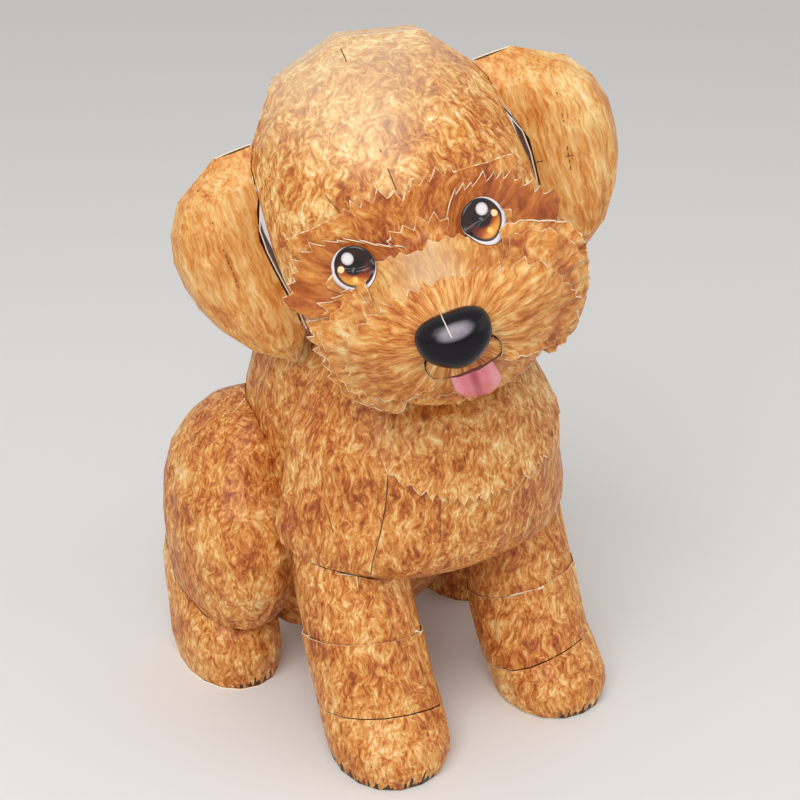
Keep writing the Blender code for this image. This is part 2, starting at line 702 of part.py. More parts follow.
def body_place_side(side):
    def place(ring, angle, key):
        centre_x, centre_y, half_width, front, back, front_round, back_round = ring
        cosine = math.cos(math.radians(angle))
        sine = math.sin(math.radians(angle))
        roundness = front_round if cosine >= 0 else back_round
        across = half_width * power(sine, 2 / roundness)
        if cosine >= 0:
            along = centre_y - (centre_y - front) * power(cosine, 2 / roundness)
        else:
            along = centre_y + (back - centre_y) * power(-cosine, 2 / roundness)
        return Vector((side * (centre_x + across), along, key))
    return place


def body_ring(height, centre_x, centre_y, half_width, front, back, front_round=2.1, back_round=2.3):
    return (height, centre_x, centre_y, half_width, front, back, front_round, back_round)


def chest_up(share):
    """Height at a share of the way from the widest part of the chest to its top."""
    return CHEST_WIDEST_Z + (CHEST_TOP_Z - CHEST_WIDEST_Z) * share


def chest_ring(height, narrow, front, back, middle=0.0, roundness=1.95):
    return body_ring(height, CHEST_ASIDE, CHEST_MIDDLE + middle, CHEST_HALF_WIDTH - narrow,
                     CHEST_FRONT + front,
                     CHEST_BACK - back, roundness, 3.4)


CHEST_SKIN = Skin((
    chest_ring(CHEST_LOW_Z, 36 * MM, 28 * MM, 15 * MM, -9 * MM),
    chest_ring(CHEST_LOW_Z + 2 * MM, 15 * MM, 19 * MM, 7 * MM, -5 * MM),
    chest_ring(CHEST_LOW_Z + 6 * MM, 4 * MM, 11 * MM, 2 * MM, -2 * MM, 2.1),
    chest_ring(CHEST_LOW_Z + 11 * MM, -3 * MM, 5.5 * MM, 0.0, 0.0, 2.15),
    chest_ring(CHEST_WIDEST_Z, -3 * MM, 2 * MM, 0.0, 0.0, 2.1),
    chest_ring(chest_up(0.192), -1 * MM, 0.5 * MM, 0.0),
    chest_ring(chest_up(0.346), 0.0, 0.0, 0.0),
    chest_ring(chest_up(0.5), 1.5 * MM, 1.5 * MM, 0.0),
    chest_ring(chest_up(0.654), 6 * MM, 5 * MM, 0.0),
    chest_ring(chest_up(0.808), 11 * MM, 10.5 * MM, 1 * MM, -1 * MM),
    chest_ring(chest_up(1.038), 18 * MM, 17 * MM, 3 * MM, -3 * MM),
), body_place_side(1.0), chest_up(0.192))
CHEST_ANGLES = round_angles(36)
CHEST_HEIGHTS = CHEST_SKIN.keys
chest_core = core("chest_core", CHEST_SKIN, CHEST_ANGLES, CHEST_HEIGHTS, FIT)

SEAM_HALF_GAP = math.degrees(FIT / 2 / CHEST_HALF_WIDTH)


def panel(name, skin, start, end, count, low, high, rows, rise, paint, **more):
    return sheet(name, skin, spread(start, end, count), flat_edge(low), flat_edge(high), rows, rise, paint,
                 **more)


chest = panel("chest", CHEST_SKIN, -CHEST_SEAM_ANGLE + SEAM_HALF_GAP, CHEST_SEAM_ANGLE - SEAM_HALF_GAP, 8,
              CHEST_LOW_Z + 0.5 * MM, CHEST_TOP_Z, 14, 0.0, FUR)
cut(chest, head_core)
for side, tag in ((1.0, "left"), (-1.0, "right")):
    shoulder = panel("shoulder_" + tag, CHEST_SKIN, side * (CHEST_SEAM_ANGLE + SEAM_HALF_GAP), side * 150.0,
                     11,
                     CHEST_LOW_Z + 0.5 * MM, CHEST_TOP_Z, 14, 0.0, FUR)
    cut(shoulder, head_core)

BIB_ANGLE = 58.0
BIB_LOW_Z = CHEST_TOP_Z - 37.5 * MM
BIB_TOP_Z = CHEST_TOP_Z - 5 * MM
BIB_SIDE_LIFT = 17.0 * MM


def bib_edge(angle):
    return BIB_LOW_Z + BIB_SIDE_LIFT * (abs(angle) / BIB_ANGLE) ** 2


bib = sheet("bib", CHEST_SKIN, spread(-BIB_ANGLE, BIB_ANGLE, 40), bib_edge, flat_edge(BIB_TOP_Z), 4,
            LAYER + FIT, FUR_PALE,
            teeth_first=-2.2 * MM)
cut(bib, head_core)


def rear_up(share):
    """Height at a share of the way from the middle of the body to its top."""
    return BODY_MIDDLE_Z + (BODY_TOP_Z - BODY_MIDDLE_Z) * share


def rear_ring(height, narrow, front, back):
    return body_ring(height, 0.0, (front + BODY_BACK - back) / 2, BODY_HALF_WIDTH - narrow, front,
                     BODY_BACK - back)


BODY_SKIN = Skin((
    rear_ring(BODY_LOW_Z, 20 * MM, 24 * MM, 20 * MM),
    rear_ring(BODY_LOW_Z + 3 * MM, 9 * MM, 14 * MM, 8 * MM),
    rear_ring(BODY_LOW_Z + 18 * MM, 3 * MM, 2 * MM, 1 * MM),
    rear_ring(BODY_LOW_Z + 36 * MM, 0.0, -6 * MM, -1 * MM),
    rear_ring(BODY_MIDDLE_Z, 0.0, -8 * MM, -1 * MM),
    rear_ring(rear_up(0.321), 0.0, -10 * MM, 1 * MM),
    rear_ring(rear_up(0.536), 0.0, -12 * MM, 3 * MM),
    rear_ring(rear_up(0.75), 1.5 * MM, -12 * MM, 7 * MM),
    rear_ring(rear_up(0.929), 6.5 * MM, -12 * MM, 15 * MM),
    rear_ring(rear_up(1.071), 14 * MM, -12 * MM, 26 * MM),
), body_place_side(1.0), BODY_LOW_Z + 45 * MM)
BODY_ANGLES = round_angles(20)
BODY_HEIGHTS = BODY_SKIN.keys
body_core = core("body_core", BODY_SKIN, BODY_ANGLES, BODY_HEIGHTS, FIT)


def stack_sheet(name, skin, angles, heights, rise, paint, parent=ROOT, cap_first=False, cap_last=False):
    """A closed ring of card through given heights."""
    builder = bmesh.new()
    grid = [[builder.verts.new(skin.raised(angle, height, rise)) for angle in angles] for height in heights]
    face_grid(builder, grid, True)
    if cap_first:
        builder.faces.new(grid[0])
    if cap_last:
        builder.faces.new(grid[-1])
    bmesh.ops.recalc_face_normals(builder, faces=builder.faces)
    point_outward(builder, skin, 90.0, heights[len(heights) // 2])
    made = add_object(name, builder, parent, paint)
    thicken(made)
    return made


back = stack_sheet("back", BODY_SKIN, BODY_ANGLES, BODY_HEIGHTS, 0.0, FUR, cap_first=True)
cut(back, chest_core)
cut(back, head_core)

BODY_RIM_Z = max(CHEST_TOP_Z, BODY_HEIGHTS[-1])


def neck_ring(height, narrow):
    """A ring of the neck, which stands on the rims of the chest and the back and leans in above them."""
    return body_ring(height, NECK_ASIDE, (NECK_FRONT + NECK_BACK) / 2, NECK_HALF_WIDTH - narrow,
                     NECK_FRONT + narrow,
                     NECK_BACK - narrow, 2.2, 2.7)


NECK_SKIN = Skin((
    neck_ring(BODY_RIM_Z + FIT, 0.0),
    neck_ring(BODY_RIM_Z + NECK_RISE * 0.25, 3 * MM),
    neck_ring(BODY_RIM_Z + NECK_RISE * 0.55, 7 * MM),
    neck_ring(BODY_RIM_Z + NECK_RISE, 11 * MM),
), body_place_side(1.0), BODY_RIM_Z + FIT)
neck = stack_sheet("neck", NECK_SKIN, round_angles(24), NECK_SKIN.keys, 0.0, FUR)
cut(neck, head_core)


def sole(name, skin, angles, height):
    """The flat card under a foot."""
    builder = bmesh.new()
    points = [skin.at(angle, height) for angle in angles]
    outline = [builder.verts.new((point.x, point.y, CARD)) for point in points]
    builder.faces.new(outline)
    bmesh.ops.recalc_face_normals(builder, faces=builder.faces)
    builder.normal_update()
    if next(iter(builder.faces)).normal.z < 0:
        bmesh.ops.reverse_faces(builder, faces=builder.faces)
    thicken(add_object(name, builder, ROOT, FUR_DARK))


def leg_ring(height, middle, radius, front=0.0, back=0.0, spread_out=0.0):
    return body_ring(height, LEG_SPREAD + spread_out, middle, radius, middle - radius - front,
                     middle + radius + back, 2.2, 2.2)


def thigh_ring(height, outward, wider, front, back):
    low = THIGH_FRONT + front
    high = THIGH_BACK + back
    return body_ring(height, THIGH_SPREAD + outward, (low + high) / 2, THIGH_HALF_WIDTH + wider, low, high)


def seam(height):
    """The sloping edge of a card round a front leg."""
    return lambda angle: height + SEAM_RISE * math.cos(math.radians(angle - SEAM_HIGH_ANGLE))


FOOT_BASE = CARD + FIT
SHIN_LAP = 2 * MM
ROUND_COLUMNS = round_angles(16)
for side, tag in ((1.0, "left"), (-1.0, "right")):
    leg_skin = Skin((
        leg_ring(FOOT_BASE, PAW_MIDDLE, LEG_RADIUS - 1.5 * MM, 2 * MM, -1.5 * MM, 1 * MM),
        leg_ring(5 * MM, PAW_MIDDLE + 0.5 * MM, LEG_RADIUS - 0.3 * MM, 2.3 * MM, -1 * MM, 0.8 * MM),
        leg_ring(11 * MM, PAW_MIDDLE + 3 * MM, LEG_RADIUS + 0.3 * MM, 2.5 * MM, -1 * MM, 0.5 * MM),
        leg_ring(PAW_TOP_Z + 3.8 * MM, PAW_MIDDLE + 7.5 * MM, LEG_RADIUS, 0.5 * MM),
        leg_ring(SHIN_TOP_Z - 7.3 * MM, PAW_MIDDLE + 11.7 * MM, LEG_RADIUS),
        leg_ring(SHIN_TOP_Z + 5.7 * MM, PAW_MIDDLE + 16.9 * MM, LEG_RADIUS),
        leg_ring(52 * MM, PAW_MIDDLE + 21.5 * MM, LEG_RADIUS - 0.3 * MM),
        leg_ring(LEG_TOP_Z - 9 * MM, PAW_MIDDLE + 23.5 * MM, LEG_RADIUS - 1.0 * MM, spread_out=-0.5 * MM),
        leg_ring(LEG_TOP_Z, PAW_MIDDLE + 25.5 * MM, LEG_RADIUS - 4 * MM, spread_out=-2 * MM),
    ), body_place_side(side), SHIN_TOP_Z)
    upper = sheet("upper_leg_" + tag, leg_skin, ROUND_COLUMNS, seam(SHIN_TOP_Z - SHIN_LAP),
                  flat_edge(LEG_TOP_Z), 6, 0.0,
                  FUR, wrap=True)
    cut(upper, chest_core)
    cut(upper, body_core)
    sheet("shin_" + tag, leg_skin, ROUND_COLUMNS, seam(PAW_TOP_Z + FIT), seam(SHIN_TOP_Z), 3, LAYER, FUR,
          wrap=True)
    sheet("paw_" + tag, leg_skin, ROUND_COLUMNS, flat_edge(FOOT_BASE), seam(PAW_TOP_Z), 4, LAYER, FUR,
          wrap=True)
    sole("sole_" + tag, leg_skin, ROUND_COLUMNS, FOOT_BASE)

    thigh_skin = Skin((
        thigh_ring(THIGH_LOW_Z, 3 * MM, -13.5 * MM, 13 * MM, -27 * MM),
        thigh_ring(THIGH_LOW_Z + 2.5 * MM, 2 * MM, -7.5 * MM, 9 * MM, -15 * MM),
        thigh_ring(THIGH_LOW_Z + 8.5 * MM, 1 * MM, -3 * MM, 5 * MM, -5 * MM),
        thigh_ring(THIGH_LOW_Z + 17.5 * MM, 0.5 * MM, -1 * MM, 1 * MM, -1 * MM),
        thigh_ring(THIGH_LOW_Z + 29.5 * MM, 0.0, 0.0, 0.0, 0.0),
        thigh_ring(THIGH_TOP_Z - 28 * MM, -0.5 * MM, -1 * MM, 5 * MM, 0.0),
        thigh_ring(THIGH_TOP_Z - 18 * MM, -2.5 * MM, -2.5 * MM, 12 * MM, -1 * MM),
        thigh_ring(THIGH_TOP_Z - 10 * MM, -5 * MM, -5 * MM, 14 * MM, -4 * MM),
        thigh_ring(THIGH_TOP_Z - 4 * MM, -8 * MM, -9 * MM, 19 * MM, -9 * MM),
        thigh_ring(THIGH_TOP_Z, -11 * MM, -15 * MM, 27 * MM, -17 * MM),
    ), body_place_side(side), THIGH_LOW_Z + 30 * MM)
    thigh_heights = thigh_skin.keys
    thigh_core = core("thigh_core_" + tag, thigh_skin, ROUND_COLUMNS, thigh_heights, FIT)
    thigh = stack_sheet("thigh_" + tag, thigh_skin, ROUND_COLUMNS, thigh_heights, 0.0, FUR,
                        cap_first=True, cap_last=True)
    cut(thigh, body_core)

    foot_skin = Skin((
        body_ring(FOOT_BASE, FOOT_SPREAD, 34 * MM, FOOT_HALF_WIDTH - 1.5 * MM, FOOT_FRONT + 1.5 * MM,
                  FOOT_BACK - 6 * MM),
        body_ring(10 * MM, FOOT_SPREAD, 35 * MM, FOOT_HALF_WIDTH, FOOT_FRONT, FOOT_BACK - 3 * MM),
        body_ring(18 * MM, FOOT_SPREAD, 36 * MM, FOOT_HALF_WIDTH - 0.5 * MM, FOOT_FRONT + 1.5 * MM,
                  FOOT_BACK - 1 * MM),
        body_ring(25 * MM, FOOT_SPREAD, 42 * MM, FOOT_HALF_WIDTH - 1.5 * MM, FOOT_FRONT + 8.5 * MM,
                  FOOT_BACK),
        body_ring(34 * MM, FOOT_SPREAD, 47 * MM, FOOT_HALF_WIDTH - 2.5 * MM, FOOT_FRONT + 20.5 * MM,
                  FOOT_BACK),
        body_ring(46 * MM, FOOT_SPREAD, 48 * MM, FOOT_HALF_WIDTH - 4.5 * MM, FOOT_FRONT + 25 * MM,
                  FOOT_BACK - 3 * MM),
    ), body_place_side(side), 18 * MM)
    foot = stack_sheet("hind_foot_" + tag, foot_skin, ROUND_COLUMNS,
                       [FOOT_BASE, 4 * MM, 10 * MM, 18 * MM, 25 * MM, 34 * MM, 46 * MM], 0.0, FUR)
    cut(foot, thigh_core)
    cut(foot, body_core)
    sole("hind_sole_" + tag, foot_skin, ROUND_COLUMNS, FOOT_BASE)

# Tail
TAIL = bpy.data.objects.new("tail_root", None)
PARTS.objects.link(TAIL)
TAIL.parent = ROOT
TAIL.location = (0.0, BODY_BACK - 2.0 * MM, TAIL_Z)
TAIL.rotation_euler = (math.radians(TAIL_RISE_ANGLE - 90.0), 0.0, 0.0)


def tail_ring(height, radius):
    return body_ring(height, 0.0, 0.0, radius, -radius, radius, 2.0, 2.0)


TAIL_SKIN = Skin((
    tail_ring(-8.0 * MM, TAIL_RADIUS - 5 * MM),
    tail_ring(4.0 * MM, TAIL_RADIUS - 4.5 * MM),
    tail_ring(10.0 * MM, TAIL_RADIUS - 1.5 * MM),
    tail_ring(TAIL_LENGTH - 12.0 * MM, TAIL_RADIUS),
    tail_ring(TAIL_LENGTH - 5.0 * MM, TAIL_RADIUS - 1.5 * MM),
    tail_ring(TAIL_LENGTH - 1.0 * MM, TAIL_RADIUS - 5.5 * MM),
    tail_ring(TAIL_LENGTH, 0.8 * MM),
), body_place_side(1.0), TAIL_LENGTH / 2)
tail = stack_sheet("tail", TAIL_SKIN, round_angles(10), TAIL_SKIN.keys, 0.0, FUR, TAIL, cap_last=True)
cut(tail, body_core)


def stand_on_origin():
    """Moves the model so that the middle of its underside is the origin."""
    bpy.context.view_layer.update()
    graph = bpy.context.evaluated_depsgraph_get()
    corners = []
    for item in PARTS.objects:
        if item.type == "MESH":
            shown = item.evaluated_get(graph)
            corners += [shown.matrix_world @ vertex.co for vertex in shown.data.vertices]
    low = [min(corner[axis] for corner in corners) for axis in range(3)]
    high = [max(corner[axis] for corner in corners) for axis in range(3)]
    ROOT.location = (-(low[0] + high[0]) / 2, -(low[1] + high[1]) / 2, -low[2])
    bpy.context.view_layer.update()


stand_on_origin()
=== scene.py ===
"""Looks of the papercraft dog: printed curly fur, cut card edges, printed eyes and claws."""
import math
import random

import bmesh
import bpy
from mathutils import Euler, Matrix, Vector
from mathutils.bvhtree import BVHTree


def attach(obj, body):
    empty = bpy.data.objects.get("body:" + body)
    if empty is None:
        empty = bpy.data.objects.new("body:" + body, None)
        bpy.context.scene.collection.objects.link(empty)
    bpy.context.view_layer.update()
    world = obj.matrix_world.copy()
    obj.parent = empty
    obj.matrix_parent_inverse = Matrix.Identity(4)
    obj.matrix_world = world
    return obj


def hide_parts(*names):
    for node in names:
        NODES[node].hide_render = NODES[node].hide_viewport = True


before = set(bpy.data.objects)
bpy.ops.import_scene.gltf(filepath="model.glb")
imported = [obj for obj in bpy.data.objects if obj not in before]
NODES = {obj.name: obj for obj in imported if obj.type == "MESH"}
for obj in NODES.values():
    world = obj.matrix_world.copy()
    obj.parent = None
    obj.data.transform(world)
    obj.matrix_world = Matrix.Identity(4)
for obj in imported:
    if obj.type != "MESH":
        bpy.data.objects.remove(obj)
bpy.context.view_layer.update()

MM = 0.001
CARD = 0.3 * MM

# The shift that stands the model on its origin, and the pose of the head
SHIFT = Vector((1.5052, -1.2681, 0.0)) * MM
HEAD_CENTRE = Vector((-10.0, -5.0, 158.0)) * MM + SHIFT
HEAD_TURN = 26.5
HEAD_TILT = 20.0
HEAD_MATRIX = Matrix.Translation(HEAD_CENTRE) @ Euler(
    (0.0, math.radians(-HEAD_TILT), math.radians(-HEAD_TURN))).to_matrix().to_4x4()

# The head's sizes, in its own frame: x to the dog's left, y backward, z up
MUZZLE_REACH = 69.0 * MM
NOSE_HEIGHT = -11.0 * MM
FACE_REACH = 38.0 * MM
HEAD_HALF_WIDTH = 35.5 * MM
CROWN_HEIGHT = 45.7 * MM
THROAT_DEPTH = 38.0 * MM
MUZZLE_HALF_WIDTH = 27.0 * MM
MUZZLE_TOP = 1.0 * MM
MUZZLE_MIDDLE = -12.0 * MM
MUZZLE_ASIDE = 2.0 * MM
BEARD_DEPTH = 42.0 * MM
LAYER = 0.75 * MM
FACE_LIFT = 0.25 * MM
TONGUE_MIDDLE_X = 1.5 * MM
EYE_RADIUS = 5.7 * MM

# Colours, linear
PALE = (0.90, 0.79, 0.52)
FUR_STOPS = (
    (0.02, (0.24, 0.045, 0.007)),
    (0.25, (0.44, 0.115, 0.017)),
    (0.50, (0.66, 0.27, 0.056)),
    (0.76, (0.83, 0.53, 0.20)),
    (1.0, (0.92, 0.76, 0.45)),
)
FLECK = (0.38, 0.085, 0.012)
CARD_WHITE = (0.90, 0.80, 0.62)
CLAW_BLACK = (0.018, 0.008, 0.006)
EYE_WHITE = (0.80, 0.74, 0.76)
IRIS_STOPS = (
    (0.0, (0.02, 0.004, 0.002)),
    (0.35, (0.13, 0.014, 0.003)),
    (0.65, (0.38, 0.065, 0.006)),
    (0.95, (0.82, 0.36, 0.05)),
)

# The fur print: how many waves and patches there are to a metre, and how much each layer counts
WAVE_SCALE = 150.0
PATCH_SCALE = 75.0
LOCK_WEIGHT = 0.95
HAIR_WEIGHT = 1.15
PATCH_WEIGHT = 0.8
FLECK_WEIGHT = 0.42
FLECK_SHIFT = (0.31, 0.17, 0.23)
# How far from the nose the fur round it has its true width
ROUND_NOSE = 16.0 * MM

# The claws: for each foot its middle, how far forward they start and half their width, in metres
CLAW_PLACES = (
    (0.0305, -0.040, 0.0085),
    (-0.0275, -0.040, 0.0085),
    (0.0465, 0.020, 0.0085),
    (-0.0435, 0.020, 0.0085),
)
CLAW_HEIGHT = 1.7 * MM
CLAW_JAG = 13.0 * MM

# The discs printed on an eye, each over the one before, in eye radii: its middle, radius, blur and colour,
# where None stands for the iris
EYE_DISCS = (
    (-0.075, 0.085, 0.915, 0.025, (0.010, 0.004, 0.005)),
    (-0.05, 0.03, 0.76, 0.06, None),
    (-0.04, 0.14, 0.43, 0.08, (0.008, 0.003, 0.004)),
    (0.06, -0.48, 0.13, 0.06, (0.95, 0.62, 0.16)),
    (0.13, 0.48, 0.27, 0.025, (0.62, 0.57, 0.60)),
    (0.13, 0.47, 0.19, 0.03, (0.80, 0.76, 0.78)),
    (0.545, 0.11, 0.145, 0.025, (0.88, 0.68, 0.34)),
)


class Tree:
    """A material under construction, with short calls for the nodes used here."""

    def __init__(self, name):
        self.material = bpy.data.materials.new(name)
        self.material.use_nodes = True
        self.nodes = self.material.node_tree.nodes
        self.links = self.material.node_tree.links
        self.shader = self.nodes["Principled BSDF"]

    def put(self, socket, value):
        """Gives a socket a link, a colour or a plain value."""
        if isinstance(value, bpy.types.NodeSocket):
            self.links.new(value, socket)
        elif isinstance(value, tuple) and len(value) == 3 and len(socket.default_value) == 4:
            socket.default_value = (*value, 1.0)
        else:
            socket.default_value = value

    def math(self, operation, first, second=0.0):
        node = self.nodes.new("ShaderNodeMath")
        node.operation = operation
        self.put(node.inputs[0], first)
        self.put(node.inputs[1], second)
        return node.outputs[0]

    def plus(self, first, second):
        return self.math("ADD", first, second)

    def minus(self, first, second):
        return self.math("SUBTRACT", first, second)

    def times(self, first, second):
        return self.math("MULTIPLY", first, second)

    def swing(self, noise, amount):
        """A noise value moved to lie round zero, and scaled."""
        return self.times(self.minus(noise, 0.5), amount)

    def vector(self, operation, first, second):
        node = self.nodes.new("ShaderNodeVectorMath")
        node.operation = operation
        self.put(node.inputs[0], first)
        self.put(node.inputs[1], second)
        return node.outputs["Vector"]

    def scaled(self, vector, factor):
        node = self.nodes.new("ShaderNodeVectorMath")
        node.operation = "SCALE"
        self.put(node.inputs[0], vector)
        self.put(node.inputs["Scale"], factor)
        return node.outputs["Vector"]

    def position(self):
        return self.nodes.new("ShaderNodeTexCoord").outputs["Object"]

    def split(self, vector):
        node = self.nodes.new("ShaderNodeSeparateXYZ")
        self.put(node.inputs[0], vector)
        return node.outputs[0], node.outputs[1], node.outputs[2]

    def join(self, x, y, z):
        node = self.nodes.new("ShaderNodeCombineXYZ")
        for socket, value in zip(node.inputs, (x, y, z)):
            self.put(socket, value)
        return node.outputs[0]

    def placed(self, matrix):
        """Position in the frame of a matrix."""
        inverse = matrix.inverted()
        node = self.nodes.new("ShaderNodeMapping")
        node.vector_type = "POINT"
        self.put(node.inputs["Vector"], self.position())
        node.inputs["Rotation"].default_value = inverse.to_euler("XYZ")
        node.inputs["Location"].default_value = inverse.to_translation()
        return node.outputs[0]

    def noise(self, vector, scale, detail, roughness, colour=False):
        node = self.nodes.new("ShaderNodeTexNoise")
        self.put(node.inputs["Vector"], vector)
        node.inputs["Scale"].default_value = scale
        node.inputs["Detail"].default_value = detail
        node.inputs["Roughness"].default_value = roughness
        return node.outputs["Color" if colour else "Fac"]

    def ramp(self, value, stops):
        node = self.nodes.new("ShaderNodeValToRGB")
        elements = node.color_ramp.elements
        while len(elements) < len(stops):
            elements.new(0.5)
        for element, (place, colour) in zip(elements, stops):
            element.position = place
            element.color = (*colour, 1.0)
        self.put(node.inputs[0], value)
        return node.outputs[0]

    def step(self, value, low, high):
        """0 below low, 1 above high, smooth between."""
        node = self.nodes.new("ShaderNodeMapRange")
        node.interpolation_type = "SMOOTHSTEP"
        self.put(node.inputs["Value"], value)
        node.inputs["From Min"].default_value = low
        node.inputs["From Max"].default_value = high
        return node.outputs[0]

    def fade(self, value, low, high):
        """1 below low, 0 above high, smooth between."""
        return self.minus(1.0, self.step(value, low, high))

    def mix(self, factor, first, second):
        node = self.nodes.new("ShaderNodeMix")
        node.data_type = "RGBA"
        self.put(node.inputs["Factor"], factor)
        self.put(node.inputs[6], first)
        self.put(node.inputs[7], second)
        return node.outputs[2]

    def finish(self, colour, roughness, specular=0.5, height=None):
        self.put(self.shader.inputs["Base Color"], colour)
        self.put(self.shader.inputs["Roughness"], roughness)
        self.put(self.shader.inputs["Specular IOR Level"], specular)
        if height is not None:
            bump = self.nodes.new("ShaderNodeBump")
            bump.inputs["Strength"].default_value = 0.6
            bump.inputs["Distance"].default_value = 0.05 * MM
            self.put(bump.inputs["Height"], height)
            self.put(self.shader.inputs["Normal"], bump.outputs[0])
        return self.material


def fur_colour(tree, place, across, along, curl, tone, contrast):
    """Printed fur. place is a vector whose z runs along the hairs, in metres."""
    waves = tree.noise(tree.position(), WAVE_SCALE, 1.5, 0.5, colour=True)
    waves = tree.vector("SUBTRACT", waves, (0.5, 0.5, 0.5))
    bent = tree.vector("ADD", place, tree.scaled(waves, curl))
    strokes = tree.vector("MULTIPLY", bent, (1.0, 1.0, along))
    locks = tree.noise(strokes, 0.40 / across, 2.0, 0.55)
    hairs = tree.noise(strokes, 1.0 / across, 3.0, 0.65)
    flecks = tree.noise(tree.vector("ADD", strokes, FLECK_SHIFT), 0.55 / across, 2.0, 0.5)
    patch = tree.noise(tree.position(), PATCH_SCALE, 2.0, 0.55)
    value = tree.plus(tree.swing(locks, LOCK_WEIGHT * contrast), tree.swing(hairs, HAIR_WEIGHT * contrast))
    value = tree.plus(value, tree.swing(patch, PATCH_WEIGHT))
    value = tree.plus(tree.plus(value, tone), 0.5)
    dark = tree.times(tree.step(flecks, 0.60, 0.74), FLECK_WEIGHT * contrast)
    return tree.mix(dark, tree.ramp(value, FUR_STOPS), FLECK)


def paper_grain(tree):
    """Height of card: fine fibres and a slight unevenness."""
    fine = tree.noise(tree.position(), 2600.0, 2.0, 0.6)
    broad = tree.noise(tree.position(), 140.0, 1.0, 0.5)
    return tree.plus(tree.times(fine, 0.35), broad)


def radial_place(tree):
    """A place whose z runs outward from the nose, and the distance from the muzzle's middle."""
    x, y, z = tree.split(tree.placed(HEAD_MATRIX))
    height = tree.minus(z, NOSE_HEIGHT)
    out = tree.math("SQRT", tree.plus(tree.times(x, x), tree.times(height, height)))
    out_safe = tree.math("MAXIMUM", out, 1.0 * MM)
    side = tree.times(tree.math("DIVIDE", x, out_safe), ROUND_NOSE)
    up = tree.times(tree.math("DIVIDE", height, out_safe), ROUND_NOSE)
    run = tree.plus(out, tree.times(tree.plus(y, MUZZLE_REACH), 0.8))
    return tree.join(side, up, run), x


def with_claws(tree, colour):
    """Dark printed claws at the front of each foot, with pale gaps between them."""
    x, y, z = tree.split(tree.position())
    jag = tree.noise(tree.vector("MULTIPLY", tree.position(), (1.0, 1.0, 0.15)), 900.0, 1.0, 0.5)
    low = tree.math("LESS_THAN", z, tree.plus(tree.swing(jag, CLAW_JAG), CLAW_HEIGHT))
    for foot_x, foot_y, reach in CLAW_PLACES:
        near = tree.fade(tree.math("ABSOLUTE", tree.minus(x, foot_x)), reach * 0.72, reach)
        front = tree.math("LESS_THAN", y, foot_y)
        mask = tree.times(tree.times(near, front), low)
        colour = tree.mix(tree.times(mask, 0.93), colour, CLAW_BLACK)
    return colour


def fur_material(name, kind, tone, along, across=1.0 * MM, curl=6.0 * MM, contrast=1.0, extra=None):
    """Fur that runs down the body, down the head or outward from the nose, with a pale part or claws."""
    tree = Tree(name)
    if kind == "face":
        place, middle = radial_place(tree)
    elif kind == "head":
        place = tree.placed(HEAD_MATRIX)
    else:
        place = tree.position()
    colour = fur_colour(tree, place, across, along, curl, tone, contrast)
    if extra == "pale centre":
        near = tree.fade(tree.math("ABSOLUTE", middle), 1.0 * MM, 12.0 * MM)
        colour = tree.mix(tree.times(near, 0.36), colour, PALE)
    if extra == "pale crown":
        x, _, z = tree.split(place)
        top = tree.step(tree.plus(z, tree.times(tree.math("ABSOLUTE", x), -0.6)), 8 * MM, 34 * MM)
        colour = tree.mix(tree.times(top, 0.34), colour, PALE)
    if extra == "claws":
        colour = with_claws(tree, colour)
    return tree.finish(colour, 0.46, 0.35, paper_grain(tree))


def plain_material(name, colour, roughness):
    """Card of one colour, a little cloudy."""
    tree = Tree(name)
    cloud = tree.noise(tree.position(), 240.0, 3.0, 0.6)
    shade = tree.plus(tree.swing(cloud, 0.12), 1.0)
    return tree.finish(tree.scaled(colour, shade), roughness, 0.4, paper_grain(tree))


def eye_material(name, matrix, side):
    """The printed eye: white crescent, black rim, amber iris, pupil and highlights."""
    tree = Tree(name)
    u, v, _ = tree.split(tree.placed(matrix))
    u = tree.times(u, side / EYE_RADIUS)
    v = tree.times(v, 1.0 / EYE_RADIUS)
    low = tree.step(tree.plus(tree.times(v, -0.8), tree.times(u, 0.35)), -0.35, 0.62)
    rays = tree.noise(tree.position(), 1500.0, 2.0, 0.6)
    iris = tree.ramp(tree.plus(low, tree.swing(rays, 0.3)), IRIS_STOPS)
    colour = EYE_WHITE
    for middle_u, middle_v, radius, blur, shade in EYE_DISCS:
        du = tree.minus(u, middle_u)
        dv = tree.minus(v, middle_v)
        far = tree.math("SQRT", tree.plus(tree.times(du, du), tree.times(dv, dv)))
        colour = tree.mix(tree.fade(far, radius - blur, radius + blur), colour, shade or iris)
    return tree.finish(colour, 0.2, 0.45)


def bare_and_lit_edge_material():
    """The outermost band of a pinked card: pale in places, as bare card and a painted highlight where the cut
    edge catches the light, printed in others.
    """
    tree = Tree("bare_and_lit_edge")
    # The pale spots are bare card at the cut and a painted highlight of the lit edge.
    bare = tree.step(tree.noise(tree.position(), 420.0, 2.0, 0.6), 0.46, 0.62)
    colour = tree.mix(bare, (0.66, 0.30, 0.08), (0.90, 0.76, 0.52))
    return tree.finish(colour, 0.55, height=paper_grain(tree))


def nose_material():
    """Black with a soft painted highlight and a white slit at its top."""
    tree = Tree("nose_print")
    x, _, z = tree.split(tree.placed(HEAD_MATRIX))
    # A soft pale spot near the top of the nose: a painted highlight.
    across = tree.math("DIVIDE", tree.minus(x, 0.4 * MM), 5.0 * MM)
    above = tree.math("DIVIDE", tree.minus(z, -7.3 * MM), 1.9 * MM)
    far = tree.plus(tree.times(across, across), tree.times(above, above))
    cloud = tree.noise(tree.position(), 500.0, 2.0, 0.6)
    painted_highlight = tree.times(tree.fade(far, 0.0, 1.15), tree.plus(tree.times(cloud, 0.5), 0.45))
    colour = tree.mix(painted_highlight, (0.004, 0.002, 0.005), (0.42, 0.36, 0.42))
    beside = tree.math("ABSOLUTE", tree.plus(x, tree.plus(tree.times(z, 0.1), 1.6 * MM)))
    slit = tree.times(tree.math("LESS_THAN", beside, 0.13 * MM), tree.math("GREATER_THAN", z, -8.0 * MM))
    colour = tree.mix(tree.times(slit, 0.8), colour, CARD_WHITE)
    return tree.finish(colour, 0.22, 0.22)


